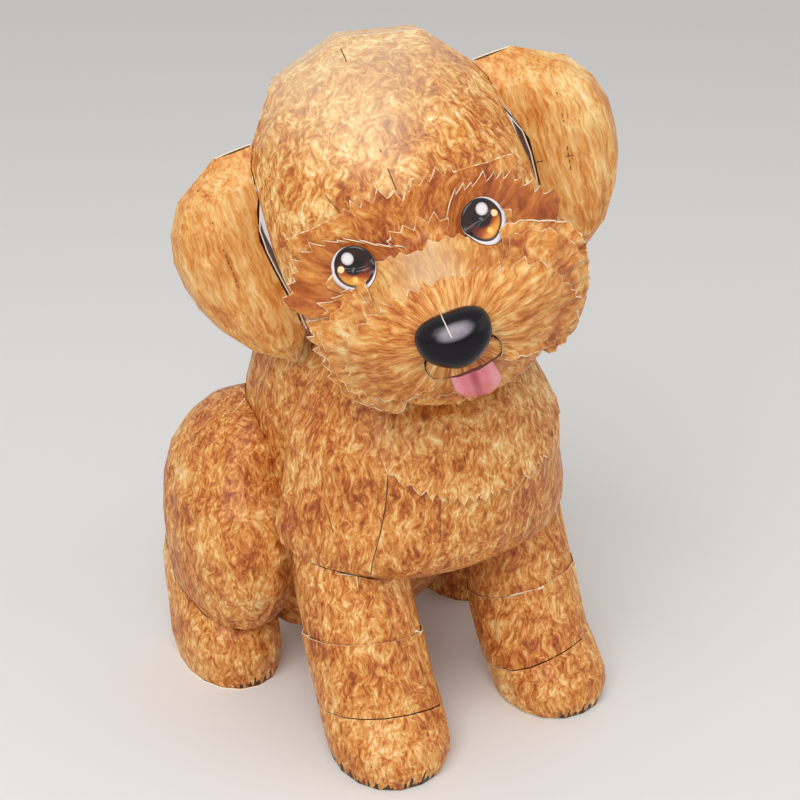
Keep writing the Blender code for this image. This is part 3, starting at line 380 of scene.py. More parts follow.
def tongue_material():
    """Pink, darker along the groove and paler at the sides."""
    tree = Tree("tongue_print")
    x, _, _ = tree.split(tree.placed(HEAD_MATRIX))
    middle = tree.math("ABSOLUTE", tree.minus(x, TONGUE_MIDDLE_X))
    groove = tree.fade(middle, 0.2 * MM, 1.7 * MM)
    rim = tree.step(middle, 2.6 * MM, 4.8 * MM)
    colour = tree.mix(groove, (0.78, 0.21, 0.25), (0.50, 0.07, 0.10))
    colour = tree.mix(tree.times(rim, 0.5), colour, (0.90, 0.42, 0.45))
    return tree.finish(colour, 0.32, height=paper_grain(tree))


FUR = fur_material("fur_body", "body", -0.08, 0.34, 0.8 * MM, contrast=1.2)
FUR_FOOT = fur_material("fur_foot", "body", -0.02, 0.34, 0.8 * MM, contrast=1.2, extra="claws")
FUR_HEAD = fur_material("fur_head", "head", 0.01, 0.45, curl=8.0 * MM, contrast=1.35, extra="pale crown")
FUR_EAR = fur_material("fur_ear", "head", 0.10, 0.12, 0.7 * MM, 3.0 * MM, 0.75)
FUR_FACE = fur_material("fur_face", "face", -0.05, 0.13, 0.65 * MM, 2.6 * MM)
FUR_BRIDGE = fur_material("fur_bridge", "face", 0.0, 0.12, 0.65 * MM, 2.0 * MM, 0.8, "pale centre")
FUR_BROW = fur_material("fur_brow", "face", -0.17, 0.25, 0.8 * MM, 5.0 * MM)
FUR_PATCH = fur_material("fur_patch", "face", -0.27, 0.12, 0.7 * MM, 2.0 * MM, 0.7)
FUR_LIP = fur_material("fur_lip", "face", -0.12, 0.08, 0.6 * MM, 0.6 * MM, 1.3)
FUR_BIB = fur_material("fur_bib", "body", 0.02, 0.34, 0.8 * MM, contrast=1.2)
EDGE = plain_material("cut_edge", CARD_WHITE, 0.6)
BARE_AND_LIT_EDGE = bare_and_lit_edge_material()
RIM_DARK = plain_material("eye_rim", (0.03, 0.012, 0.01), 0.5)
# The inside of each ear is bare card, given a darker colour as painted shade, with a pink tint of painted
# reflected light.
EAR_INSIDE_SHADE = plain_material("ear_lining", (0.48, 0.33, 0.30), 0.55)
MOUTH = plain_material("mouth_print", (0.13, 0.012, 0.006), 0.5)
NOSE = nose_material()
TONGUE = tongue_material()
SLIT = plain_material("slit_line", (0.16, 0.075, 0.025), 0.6)

# The looks of the shells that aren't printed like the body
LOOKS = {
    "head_front": FUR_HEAD,
    "head_back": FUR_HEAD,
    "ear_left": FUR_EAR,
    "ear_right": FUR_EAR,
    "ear_lining_left": EAR_INSIDE_SHADE,
    "ear_lining_right": EAR_INSIDE_SHADE,
    "paw_left": FUR_FOOT,
    "paw_right": FUR_FOOT,
    "hind_foot_left": FUR_FOOT,
    "hind_foot_right": FUR_FOOT,
}
SHARP_ANGLE = 34.0
LONGEST_EDGE_FACE = 30 * MM


def thin_faces(mesh):
    """The faces as narrow as the card is thick: its cut edges."""
    found = set()
    for face in mesh.polygons:
        corners = [mesh.vertices[index].co for index in face.vertices]
        longest = max((corners[i] - corners[i - 1]).length for i in range(len(corners)))
        if longest > 0 and 2 * face.area / longest < 1.15 * CARD and longest < LONGEST_EDGE_FACE:
            found.add(face.index)
    return found


for name, node in NODES.items():
    node.data.materials.clear()
    node.data.materials.append(LOOKS.get(name, FUR))
    node.data.materials.append(EDGE)
    thin = thin_faces(node.data)
    for face in node.data.polygons:
        face.material_index = 1 if face.index in thin else 0
    node.data.shade_smooth()
    node.data.set_sharp_from_angle(angle=math.radians(SHARP_ANGLE))


def between(*shares):
    """Reaches that lie at some shares of the way from the face to the end of the muzzle."""
    return tuple(FACE_REACH + (MUZZLE_REACH - FACE_REACH) * share for share in shares)


# The front of the head, as rings from the nose rim (0) back to the head's sides (7). Each ring: reach at the
# top, side and bottom, half width, top, middle, bottom, roundness, taper, shift aside
HEAD_RINGS = (
    (*between(1.0, 0.97, 0.87), 4.6 * MM, -8.2 * MM, MUZZLE_MIDDLE + 2 * MM, -15 * MM, 2.1, 0.0, 0.0),
    (*between(0.645, 0.71, 0.71), MUZZLE_HALF_WIDTH - 9 * MM, MUZZLE_TOP - 3 * MM, MUZZLE_MIDDLE + 1 * MM,
     -BEARD_DEPTH + 17 * MM, 2.1, 0.2, MUZZLE_ASIDE / 2),
    (*between(0.323, 0.387, 0.452), MUZZLE_HALF_WIDTH - 2 * MM, MUZZLE_TOP - 1 * MM, MUZZLE_MIDDLE,
     -BEARD_DEPTH + 9 * MM, 2.1, 0.45, MUZZLE_ASIDE),
    (*between(0.145, 0.097, 0.258), MUZZLE_HALF_WIDTH + 2 * MM, MUZZLE_TOP + 2 * MM, MUZZLE_MIDDLE,
     -BEARD_DEPTH + 2 * MM, 2.1, 0.6, MUZZLE_ASIDE),
    (FACE_REACH + 2 * MM, FACE_REACH - 2 * MM, FACE_REACH, HEAD_HALF_WIDTH - 4 * MM, 9 * MM, -10 * MM,
     -THROAT_DEPTH - 3 * MM, 2.1, 0.25, MUZZLE_ASIDE / 2),
    (FACE_REACH, FACE_REACH - 10 * MM, FACE_REACH - 9 * MM, HEAD_HALF_WIDTH - 1.5 * MM, 16 * MM, -6 * MM,
     -THROAT_DEPTH - 3 * MM, 2.1, 0.0, 0.0),
    (FACE_REACH - 7 * MM, FACE_REACH - 18 * MM, FACE_REACH - 19 * MM, HEAD_HALF_WIDTH - 0.5 * MM,
     CROWN_HEIGHT - 16.7 * MM, 0.0, -THROAT_DEPTH - 2 * MM, 2.15, 0.0, 0.0),
    (FACE_REACH - 20 * MM, FACE_REACH - 28 * MM, FACE_REACH - 30 * MM, HEAD_HALF_WIDTH,
     CROWN_HEIGHT - 5.7 * MM, 5 * MM, -THROAT_DEPTH - 1 * MM, 2.2, 0.0, 0.0),
)
HALF_WIDTH_COLUMN = 3
# How far apart the points are that give the skin's slope, and the last key at which it is taken
KEY_REACH = 0.02
ANGLE_REACH = 0.5
LAST_SLOPE_KEY = 6.0


def ring_slope(index, column):
    low = max(index - 1, 0)
    high = min(index + 1, len(HEAD_RINGS) - 1)
    return (HEAD_RINGS[high][column] - HEAD_RINGS[low][column]) / (high - low)


def head_ring(key):
    """The ring at a key between the listed ones, along smooth curves through them."""
    span = min(max(int(key), 0), len(HEAD_RINGS) - 2)
    t = key - span
    values = []
    for column in range(len(HEAD_RINGS[0])):
        near = HEAD_RINGS[span][column]
        far = HEAD_RINGS[span + 1][column]
        value = (2 * t**3 - 3 * t**2 + 1) * near + (t**3 - 2 * t**2 + t) * ring_slope(span, column)
        value += (3 * t**2 - 2 * t**3) * far + (t**3 - t**2) * ring_slope(span + 1, column)
        values.append(value)
    return values


def signed_power(value, exponent):
    return math.copysign(abs(value) ** exponent, value)


def head_at(angle, key):
    """A point on the head's skin. The angle is 0 at the top and grows to the dog's left."""
    front_top, front_side, front_low, half_width, top, middle, low, roundness, taper, aside = head_ring(key)
    cosine = math.cos(math.radians(angle))
    sine = math.sin(math.radians(angle))
    across = aside + half_width * signed_power(sine, 2 / roundness) * (1.0 - taper * max(cosine, 0.0))
    if cosine >= 0:
        height = middle + (top - middle) * signed_power(cosine, 2 / roundness)
        front = front_side + (front_top - front_side) * cosine**2
    else:
        height = middle + (middle - low) * signed_power(cosine, 2 / roundness)
        front = front_side + (front_low - front_side) * cosine**2
    return Vector((across, -front, height))


def head_raised(angle, key, rise):
    """A point at a height over the head's skin."""
    along = head_at(angle, min(key + KEY_REACH, LAST_SLOPE_KEY)) - head_at(angle, max(key - KEY_REACH, 0.0))
    around = head_at(angle + ANGLE_REACH, key) - head_at(angle - ANGLE_REACH, key)
    return head_at(angle, key) + around.cross(along).normalized() * rise


def level(count):
    """The height of a layer of card over the head's skin."""
    return count * LAYER + FACE_LIFT


def curve_through(points):
    """A function through a list of (place, value) pairs, straight between them; a number stays level."""
    if not isinstance(points, list):
        points = [(0.0, points)]

    def value(place):
        if place <= points[0][0]:
            return points[0][1]
        for (low, first), (high, second) in zip(points, points[1:]):
            if place <= high:
                return first + (second - first) * (place - low) / (high - low)
        return points[-1][1]
    return value


def mirrored(points):
    """Edge points given for one side, for a card that spans both."""
    return [(-place, value) for place, value in reversed(points) if place > 0] + list(points)


# Rows of a face card from its start to its end, and places across a tooth, as shares
ROW_SHARES = (0.0, 0.14, 0.28, 0.42, 0.56, 0.68, 0.79, 0.88, 0.95)
TOOTH_SHARES = (0.0, 0.2, 0.42, 0.62, 0.74, 0.87)
TOOTH_PEAK = 0.62
TOOTH_GAIN = 1.35
CURL_SIZE = 0.45
# The band of bare card and painted highlight at a pinked edge, in millimetres
WHITE_BAND = 0.3
FINE_STEPS = 240
KEY_STEP = 0.05
LEAST_MM_A_KEY = 3.0


def tooth_columns(side, start, end, edge, tooth, depth, seed):
    """Angles across a card with, at each, how far the tooth stands out there and how much it curls."""
    dice = random.Random(seed)
    fine = [start + (end - start) * step / FINE_STEPS for step in range(FINE_STEPS + 1)]
    runs = [0.0]
    for first, second in zip(fine, fine[1:]):
        runs.append(runs[-1] + (head_at(second * side, edge(second)) - head_at(first * side, edge(first))).length)
    angle_at = curve_through(list(zip(runs, fine)))
    places = [0.0]
    while places[-1] < runs[-1] - 0.5 * tooth:
        places.append(places[-1] + tooth * dice.uniform(0.75, 1.3))
    places = [place * runs[-1] / places[-1] for place in places]
    columns = []
    for low, high in zip(places, places[1:]):
        size = dice.uniform(0.7, 1.2) * (high - low) / tooth
        curl = dice.uniform(-0.4, 0.9)
        peak = TOOTH_PEAK + dice.uniform(-0.1, 0.12)
        for share in TOOTH_SHARES:
            if share < TOOTH_PEAK:
                place = share * peak / TOOTH_PEAK
                out = (share / TOOTH_PEAK) ** 1.25
            else:
                place = peak + (share - TOOTH_PEAK) * (1 - peak) / (1 - TOOTH_PEAK)
                out = (1.0 - share) / (1.0 - TOOTH_PEAK)
            angle = angle_at(low + (high - low) * place)
            columns.append((angle, out * size * depth(angle) * TOOTH_GAIN, curl * out))
    columns.append((end, 0.0, 0.0))
    return columns


def face_outward(builder, vertex, outward):
    """Turns all faces over if those at a point look inward."""
    builder.normal_update()
    if vertex.link_faces[0].normal.dot(outward) < 0:
        bmesh.ops.reverse_faces(builder, faces=builder.faces)


def new_object(name, builder, looks):
    """The built faces as an object in the scene."""
    mesh = bpy.data.meshes.new(name)
    builder.to_mesh(mesh)
    builder.free()
    for look in looks:
        mesh.materials.append(look)
    made = bpy.data.objects.new(name, mesh)
    bpy.context.scene.collection.objects.link(made)
    return made


def new_card(name, builder, looks, edge, nodes, back=0):
    """The built faces as card with a thickness. edge and back say which looks the cut edge and the back have."""
    made = new_object(name, builder, looks)
    shell = made.modifiers.new("card", "SOLIDIFY")
    shell.thickness = CARD
    shell.offset = -1.0
    shell.material_offset = back
    shell.material_offset_rim = edge
    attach(made, "root")
    if nodes:
        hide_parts(*nodes)


def add_card(name, grid, look, nodes, white):
    """A card through rows of points in the head's frame. A white one shows bare card with a painted highlight
    along its last row.
    """
    builder = bmesh.new()
    rows = [[builder.verts.new(HEAD_MATRIX @ point) for point in row] for row in grid]
    for lower, upper in zip(rows, rows[1:]):
        for index in range(len(lower) - 1):
            face = builder.faces.new((lower[index], lower[index + 1], upper[index + 1], upper[index]))
            face.smooth = True
            # The last row gets the edge band: bare card and painted highlight where it is pale.
            face.material_index = 1 if white and upper is rows[-1] else 0
    middle = rows[len(rows) // 2][len(rows[0]) // 2]
    face_outward(builder, middle, middle.co - HEAD_MATRIX @ Vector((0.0, -20 * MM, -8 * MM)))
    new_card(name, builder, (look, BARE_AND_LIT_EDGE, EDGE), 2, nodes)


def toothed(name, side, span, tooth, first, last, depth, rise, look, nodes, seed, flare, lift=0.0,
            white=True):
    """A face card between two edge curves, given by angle from the top and key."""
    first_edge = curve_through(first)
    last_edge = curve_through(last)
    flare_at = curve_through(flare)
    lift_at = curve_through(lift)
    columns = tooth_columns(side, span[0], span[1], last_edge, tooth * MM, curve_through(depth), seed)
    grid = []
    for share in ROW_SHARES + (None, 1.0):
        row = []
        for angle, out, curl in columns:
            start = first_edge(angle)
            smooth_end = last_edge(angle)
            run = (head_at(angle * side, smooth_end) - head_at(angle * side, smooth_end - KEY_STEP)).length
            mm_a_key = max(run / KEY_STEP / MM, LEAST_MM_A_KEY)
            end = smooth_end + out / mm_a_key
            part = share if share is not None else 1.0 - WHITE_BAND * MM / ((end - start) * mm_a_key * MM)
            height = rise + (flare_at(angle) * part**3 + curl * CURL_SIZE * part**8 + lift_at(angle)) * MM
            row.append(head_raised(angle * side, start + (end - start) * part, height))
        grid.append(row)
    add_card(name, grid, look, nodes, white)


SIDES = ((1, "left"), (-1, "right"))

toothed("brow_card", 1, (-58, 58), 3.2, 2.9,
        mirrored([(0, 4.62), (5, 4.86), (20, 4.93), (24, 4.98), (40, 5.1), (58, 5.4)]),
        mirrored([(0, 1.4), (21, 1.9), (23, 0.0), (58, 0.0)]),
        level(1), FUR_BROW, ["brow"], 11, 0.3)
PATCH_EDGES = {
    1: [(21, 3.9), (24, 4.35), (36, 4.62), (52, 4.75), (66, 4.55), (84, 4.7)],
    -1: [(21, 2.9), (26, 3.3), (31, 4.0), (36, 4.48), (44, 4.68), (53, 4.75), (61, 4.7), (72, 4.6), (84, 4.45)],
}
for side, tag in SIDES:
    toothed("eye_patch_card_" + tag, side, (21, 84), 3.0, 2.3, PATCH_EDGES[side], [(21, 1.6), (84, 2.0)],
            level(2), FUR_PATCH, ["eye_patch_" + tag], 21 + side, 0.5,
            lift=[(60, 0.0), (74, 0.9), (84, 2.6)])
toothed("bridge_back_card", 1, (-26, 24), 3.4, 2.0,
        [(-26, 3.3), (-20, 3.62), (-12, 3.6), (-2, 3.42), (12, 3.58), (20, 3.45), (24, 3.3)],
        1.6, level(2), FUR_BROW, ["bridge_back"], 31, 0.5)
toothed("bridge_card", 1, (-86, 86), 3.4, 0.5,
        [(-86, 3.0), (-67, 3.3), (-63, 3.95), (-52, 3.95), (-46, 3.4), (-40, 3.1), (-30, 2.42), (-9, 1.95),
         (-2, 2.02), (7, 2.1), (27, 2.25), (39, 2.15), (42, 3.4), (46, 3.83), (57, 3.9), (61, 3.5), (66, 3.0),
         (86, 2.8)],
        [(-86, 1.6), (-66, 1.6), (-62, 0.0), (-48, 0.0), (-40, 1.6), (37, 1.6), (40, 0.0), (58, 0.0), (64, 1.3),
         (86, 1.6)],
        level(3), FUR_BRIDGE, ["bridge"], 41, 0.3)
CHEEK_EDGES = {
    1: [(56, 2.5), (71, 2.85), (83, 2.95), (92, 3.1), (108, 3.1), (134, 2.5), (142, 2.3)],
    -1: [(56, 2.9), (74, 3.5), (85, 3.25), (91, 3.0), (99, 3.15), (108, 3.3), (125, 3.2), (142, 2.5)],
}
CHEEK_FLARES = {
    1: [(56, 1.0), (70, 3.6), (90, 5.0), (112, 4.6), (142, 2.0)],
    -1: [(56, 0.8), (85, 0.8), (105, 2.2), (120, 3.8), (142, 2.0)],
}
for side, tag in SIDES:
    toothed("under_fringe_card_" + tag, side, (84, 134), 3.2, 2.2, [(84, 3.5), (100, 3.7), (134, 3.6)],
            1.8, level(3), FUR_FACE, ["under_fringe_" + tag], 51 + side, 1.2)
    toothed("cheek_card_" + tag, side, (56, 142), 3.2, [(56, 1.0), (100, 1.0), (142, 1.2)], CHEEK_EDGES[side],
            1.9, level(4), FUR_FACE, ["cheek_fringe_" + tag], 61 + side, CHEEK_FLARES[side])
    toothed("cheek_over_card_" + tag, side, (60, 128), 3.4, 1.0,
            [(60, 2.0), (75, 2.25), (90, 2.4), (105, 2.6), (128, 2.5)],
            1.9, level(5) - 0.2 * MM, FUR_FACE, [], 66 + side,
            [(60, 1.2), (85, 2.8 + 0.8 * side), (128, 2.8)])
    toothed("muzzle_pad_card_" + tag, side, (56, 152), 3.6, [(56, 0.1), (107, 0.12), (130, 0.45), (152, 0.8)],
            [(56, 0.78), (70, 1.05), (82, 1.2), (100, 1.65), (114, 2.25), (130, 2.1), (138, 1.6), (144, 1.05),
             (152, 0.88)],
            [(56, 1.7), (140, 1.7), (152, 0.3)],
            level(5), FUR_FACE, ["muzzle_pad_" + tag], 71 + side,
            [(56, 0.6), (75, 1.4 + 0.6 * side), (110, 2.6 + 0.8 * side), (152, 0.8)])
toothed("nose_collar_card", 1, (-58, 58), 2.9, 0.05, mirrored([(0, 0.62), (30, 0.68), (45, 0.8), (58, 0.95)]),
        1.7, level(4), FUR_FACE, ["nose_collar"], 81, 0.5)
toothed("lip_card", 1, (127, 233), 4.0, 0.05,
        [(127, 0.35), (146, 0.74), (155, 0.78), (180, 0.74), (205, 0.78), (214, 0.74), (233, 0.35)],
        0.0, level(4), FUR_LIP, ["lip"], 91, 0.0, white=False)
toothed("mouth_lining_card", 1, (112, 248), 4.0, 0.05,
        [(112, 0.2), (124, 0.55), (140, 0.84), (180, 0.9), (220, 0.84), (236, 0.55), (248, 0.2)],
        0.0, level(3) + 0.3 * MM, MOUTH, ["mouth_lining"], 92, 0.0, white=False)
toothed("chin_card", 1, (126, 234), 3.3, [(126, 0.8), (150, 0.92), (210, 0.92), (234, 0.8)],
        [(126, 2.5), (150, 2.2), (170, 1.9), (190, 1.9), (210, 2.2), (234, 2.5)],
        1.9, level(2), FUR_FACE, ["chin"], 95, 0.5)
toothed("beard_card", 1, (116, 244), 3.3, 1.7,
        [(116, 3.1), (140, 3.0), (165, 2.75), (180, 2.55), (195, 2.75), (220, 3.05), (244, 3.2)],
        2.3, level(1), FUR_FACE, ["beard"], 97, 0.6)

# The tongue: where it starts and ends on the chin, where it turns over the lip, and its sizes
TONGUE_START = 0.70
TONGUE_END = 2.2
TONGUE_TURN = 1.0
TONGUE_ANGLE = 178.5
TONGUE_HALF_WIDTH = 4.9 * MM
TONGUE_TIP_HALF_WIDTH = 0.4 * MM
TONGUE_SHARES = (0.0, 0.12, 0.2, 0.28, 0.36, 0.44, 0.54, 0.64, 0.74, 0.82, 0.89, 0.94, 0.975, 0.995)
TONGUE_SIDE_STEPS = 7


def make_tongue():
    """A rounded tongue that comes out under the lip and hangs over the chin, with a groove along it."""
    grid = []
    for share in TONGUE_SHARES:
        key = TONGUE_START + (TONGUE_END - TONGUE_START) * share
        over = min(max((key - TONGUE_TURN) / 0.3, 0.0), 1.0)
        over = over * over * (3 - 2 * over)
        tip = max(share - 0.3, 0.0) / 0.7
        half = max(TONGUE_HALF_WIDTH * math.sqrt(max(1.0 - tip**2.2, 0.0)), TONGUE_TIP_HALF_WIDTH)
        across = head_ring(key)[HALF_WIDTH_COLUMN]
        row = []
        for step in range(-TONGUE_SIDE_STEPS, TONGUE_SIDE_STEPS + 1):
            spread = step / TONGUE_SIDE_STEPS
            angle = TONGUE_ANGLE - math.degrees(math.asin(half * spread / across))
            groove = -0.55 * max(1.0 - abs(spread) * 2.2, 0.0) * over + 0.25 * (1 - spread * spread) * over
            row.append(head_raised(angle, key, level(3) + (1.75 * over + groove) * MM))
        grid.append(row)
    add_card("tongue_card", grid, TONGUE, ["tongue"], False)


make_tongue()

# The nose: its middle, how far forward each shrunken outline of it stands, and its half sizes
NOSE_MIDDLE = Vector((0.0, -(MUZZLE_REACH + 1.8 * MM), -11.2 * MM))
NOSE_PROFILE = ((0.90, 0.0), (0.985, 0.9), (1.0, 2.2), (0.97, 3.6), (0.88, 5.0), (0.74, 6.1), (0.55, 6.9),
                (0.34, 7.4), (0.14, 7.6))
NOSE_TIP = 7.65 * MM
NOSE_HALF_WIDTH = 8.9 * MM
NOSE_HALF_HEIGHT = 6.9 * MM
NOSE_STEPS = 48


def make_nose():
    """A padded triangle with rounded corners, wide at the top."""
    builder = bmesh.new()
    rows = []
    for scale, reach in NOSE_PROFILE:
        row = []
        for step in range(NOSE_STEPS):
            turn = math.radians(360.0 * step / NOSE_STEPS)
            x = math.sin(turn)
            z = math.cos(turn)
            half = NOSE_HALF_WIDTH * signed_power(x, 0.80) * (1.0 + 0.22 * z - 0.10 * z * z)
            height = NOSE_HALF_HEIGHT * signed_power(z, 0.82) * (1.0 + 0.10 * abs(x) * (1 if z > 0 else -1))
            place = NOSE_MIDDLE + Vector((half * scale, -reach * MM, height * scale))
            row.append(builder.verts.new(HEAD_MATRIX @ place))
        rows.append(row)
    for lower, upper in zip(rows, rows[1:]):
        for index in range(NOSE_STEPS):
            after = (index + 1) % NOSE_STEPS
            builder.faces.new((lower[index], lower[after], upper[after], upper[index]))
    tip = builder.verts.new(HEAD_MATRIX @ (NOSE_MIDDLE + Vector((0.0, -NOSE_TIP, 0.0))))
    for index in range(NOSE_STEPS):
        builder.faces.new((rows[-1][index], rows[-1][(index + 1) % NOSE_STEPS], tip))
    bmesh.ops.recalc_face_normals(builder, faces=builder.faces)
    for face in builder.faces:
        face.smooth = True
    new_card("nose_shell", builder, (NOSE, EDGE), 1, ["nose"])


make_nose()


def search_tree(pieces):
    """A search tree of the faces of some objects."""
    points = []
    faces = []
    for piece in pieces:
        start = len(points)
        points += [piece.matrix_world @ vertex.co for vertex in piece.data.vertices]
        faces += [tuple(start + index for index in face.vertices) for face in piece.data.polygons]
    return BVHTree.FromPolygons(points, faces)


# The bib, in millimetres: its lower edge as places across and heights, its top and half width, its teeth
BIB_LOW = [(-34, 98), (-31, 92.5), (-23, 88.5), (-14, 86.0), (-5, 86.5), (5, 87.5), (13, 90.0), (21, 92.0),
           (28, 95.5), (34, 100)]
BIB_TOP = 111.0
BIB_HALF_WIDTH = 34.0
BIB_TOOTH = 3.4
BIB_ROWS = (0.0, 0.2, 0.4, 0.6, 0.75, 0.88, 0.984, 1.0)
# The chest's rough radius, its middle, and how far outside it the search for it starts
CHEST_RADIUS = 45.0
CHEST_MIDDLE_Y = -6.0
SEARCH_REACH = 0.1
NEAR_REACH = 0.042


def make_bib():
    """A card with a pinked lower edge that lies on the chest."""
    chest = search_tree([NODES[name] for name in ("chest", "shoulder_left", "shoulder_right")])
    dice = random.Random(7)
    low_at = curve_through(BIB_LOW)
    columns = []
    place = -BIB_HALF_WIDTH
    while place < BIB_HALF_WIDTH:
        tooth = BIB_TOOTH * dice.uniform(0.75, 1.3)
        size = dice.uniform(1.8, 3.0)
        for share in TOOTH_SHARES:
            out = share / TOOTH_PEAK if share <= TOOTH_PEAK else (1.0 - share) / (1.0 - TOOTH_PEAK)
            columns.append((place + tooth * share, out * size))
        place += tooth
    columns = [(x, out) for x, out in columns if x < BIB_HALF_WIDTH]
    builder = bmesh.new()
    rows = []
    for share in BIB_ROWS:
        row = []
        for x, out in columns:
            height = BIB_TOP + (low_at(x) - out - BIB_TOP) * share
            turn = math.asin(x / CHEST_RADIUS)
            outward = Vector((math.sin(turn), -math.cos(turn), 0.0))
            inside = Vector((0.0, CHEST_MIDDLE_Y * MM, height * MM))
            hit = chest.ray_cast(inside + outward * SEARCH_REACH, -outward)
            if hit[0] is None:
                hit = chest.find_nearest(inside + outward * NEAR_REACH)
            row.append(builder.verts.new(hit[0] + hit[1] * (0.85 + 0.5 * share**6) * MM))
        rows.append(row)
    for upper, lower in zip(rows, rows[1:]):
        for index in range(len(upper) - 1):
            face = builder.faces.new((upper[index], lower[index], lower[index + 1], upper[index + 1]))
            face.smooth = True
            # The last row gets the edge band: bare card and painted highlight where it is pale.
            face.material_index = 1 if lower is rows[-1] else 0
    face_outward(builder, rows[4][len(rows[4]) // 2], Vector((0.0, -1.0, 0.0)))
    new_card("bib_card", builder, (FUR_BIB, BARE_AND_LIT_EDGE, EDGE), 2, ["bib"])


make_bib()

# Lines on the finished shells, in millimetres: the shells, the width, the look, whether dashed, and the points
LINES = (
    ("dart_crown", ("head_front", "head_back"), 0.3, SLIT, False,
     ((-22.3, 1.9, 200.6), (-26.4, -8.7, 198.1), (-28.6, -15.4, 195.5))),
    ("dart_brow", ("head_front",), 0.35, SLIT, False,
     ((-31.3, -32.1, 181.1), (-30.9, -35.9, 175.9), (-30.6, -38.2, 172.6))),
    ("dart_temple", ("head_front",), 0.25, SLIT, False,
     ((-43.2, -25.9, 170.0), (-41.4, -29.9, 166.2))),
    ("seam_chest", ("chest", "shoulder_right"), 0.25, SLIT, False,
     ((-40.2, -20.4, 79.6), (-40.2, -23.3, 74.7), (-39.8, -25.7, 69.4))),
    ("dart_chest", ("chest",), 0.25, SLIT, False,
     ((-18.4, -43.5, 85.4), (-18.2, -43.5, 79.1), (-18.0, -43.6, 72.9))),
    ("crease_thigh", ("thigh_right",), 0.3, SLIT, False,
     ((-49.8, 36.4, 80.1), (-48.0, 26.7, 80.4), (-44.8, 20.0, 78.8))),
    ("fold_ear_left", ("ear_left",), 0.3, SLIT, True,
     ((23.7, -26.7, 195.2), (23.0, -32.5, 188.7), (23.6, -35.4, 181.4), (26.5, -36.4, 167.8))),
    ("crease_ear_left", ("ear_left",), 0.25, SLIT, False,
     ((20.2, -29.5, 169.1), (26.4, -37.0, 172.0))),
    ("fold_ear_right", ("ear_right",), 0.3, SLIT, True,
     ((-57.4, 14.3, 162.6), (-57.1, 7.1, 155.9), (-55.3, 3.6, 147.2), (-52.2, 2.2, 137.5))),
    ("edge_shin_right", ("shin_right", "upper_leg_right"), 0.6, EDGE, False,
     ((-44.1, -15.3, 35.6), (-39.9, -29.9, 38.4), (-29.4, -34.5, 38.6), (-15.2, -32.5, 36.7))),
    ("edge_shin_left", ("shin_left", "upper_leg_left"), 0.5, EDGE, False,
     ((16.6, -30.7, 35.4), (25.9, -35.6, 37.8), (37.1, -34.2, 39.0))),
)
LINE_STEP = 0.6 * MM
LINE_FOOT = 0.02
LINE_TOP = 0.08
LINE_TAPER = 0.8


def make_line(name, shells, width, look, dashed, places):
    """A narrow raised strip along a path that is laid on the shells."""
    ground = search_tree([NODES[shell] for shell in shells])
    points = [Vector(place) * MM for place in places]
    steps = []
    for first, second in zip(points, points[1:]):
        count = max(int((second - first).length / LINE_STEP), 1)
        steps += [first.lerp(second, step / count) for step in range(count)]
    steps.append(points[-1])
    laid = [ground.find_nearest(point)[:2] for point in steps]
    builder = bmesh.new()
    previous = None
    for index, (place, normal) in enumerate(laid):
        ahead = laid[min(index + 1, len(laid) - 1)][0] - laid[max(index - 1, 0)][0]
        aside = normal.cross(ahead).normalized() * width * MM / 2
        foot = place + normal * LINE_FOOT * MM
        top = place + normal * LINE_TOP * MM
        corners = (foot - aside, foot + aside, top + aside * LINE_TAPER, top - aside * LINE_TAPER)
        row = [builder.verts.new(corner) for corner in corners]
        gap = dashed and index % 3 == 0
        if previous is not None and not gap:
            for corner in range(4):
                after = (corner + 1) % 4
                builder.faces.new((previous[corner], previous[after], row[after], row[corner]))
        previous = row
    bmesh.ops.holes_fill(builder, edges=[edge for edge in builder.edges if edge.is_boundary], sides=4)
    loose = [vertex for vertex in builder.verts if not vertex.link_faces]
    bmesh.ops.delete(builder, geom=loose, context="VERTS")
    bmesh.ops.recalc_face_normals(builder, faces=builder.faces)
    made = new_object(name, builder, (look,))
    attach(made, "root")


for line in LINES:
    make_line(*line)

# The eyes: their place on the face, how far they look aside and up, and how far the disc follows the cards
EYE_SPREAD = 15.7 * MM
EYE_HEIGHT = 0.8 * MM
EYE_TURN = 12.0
EYE_LOOK_UP = 14.0
DRAPE = 0.75
EYE_RINGS = 8
EYE_STEPS = 64
# How far the disc lies over the cards, how much it bulges, and the height of its middle
EYE_LIFT = 0.36 * MM
EYE_BULGE = 0.45 * MM
EYE_MIDDLE_LIFT = 0.75 * MM


def eye_frame(side):
    """The frame of an eye: x across it, y up it and z the way that it looks."""
    turn_out = math.radians(EYE_TURN) * side
    look_up = math.radians(EYE_LOOK_UP)
    outward = Vector((math.sin(turn_out) * math.cos(look_up), -math.cos(turn_out) * math.cos(look_up),
                      math.sin(look_up)))
    upward = outward.cross(Vector((0.0, 0.0, 1.0)).cross(outward).normalized()).normalized()
    right = upward.cross(outward).normalized()
    basis = Matrix((right, upward, outward)).transposed().to_4x4()
    basis.translation = Vector((EYE_SPREAD * side, -FACE_REACH, EYE_HEIGHT))
    return HEAD_MATRIX @ basis


def seat_heights(matrix, normal, offsets, cards):
    """The height of the disc at each place: draped over the cards, smoothed, and never under them."""
    heights = []
    for across, above in offsets:
        hit = cards.ray_cast(matrix @ Vector((across, above, SEARCH_REACH)), -normal)
        heights.append((matrix.inverted() @ hit[0]).z if hit[0] is not None else None)
    top = max(height for height in heights if height is not None)
    lifted = []
    for height in heights:
        local = top if height is None else height
        lifted.append(max(top * (1.0 - DRAPE) + local * DRAPE, local))
    for _ in range(3):
        smoothed = list(lifted)
        for ring in range(1, EYE_RINGS):
            start = ring * EYE_STEPS
            for step in range(EYE_STEPS):
                index = start + step
                near = (lifted[index - EYE_STEPS], lifted[index + EYE_STEPS],
                        lifted[start + (step + 1) % EYE_STEPS], lifted[start + (step - 1) % EYE_STEPS])
                smoothed[index] = max(sum(near) / 4, lifted[index])
        lifted = smoothed
    return lifted


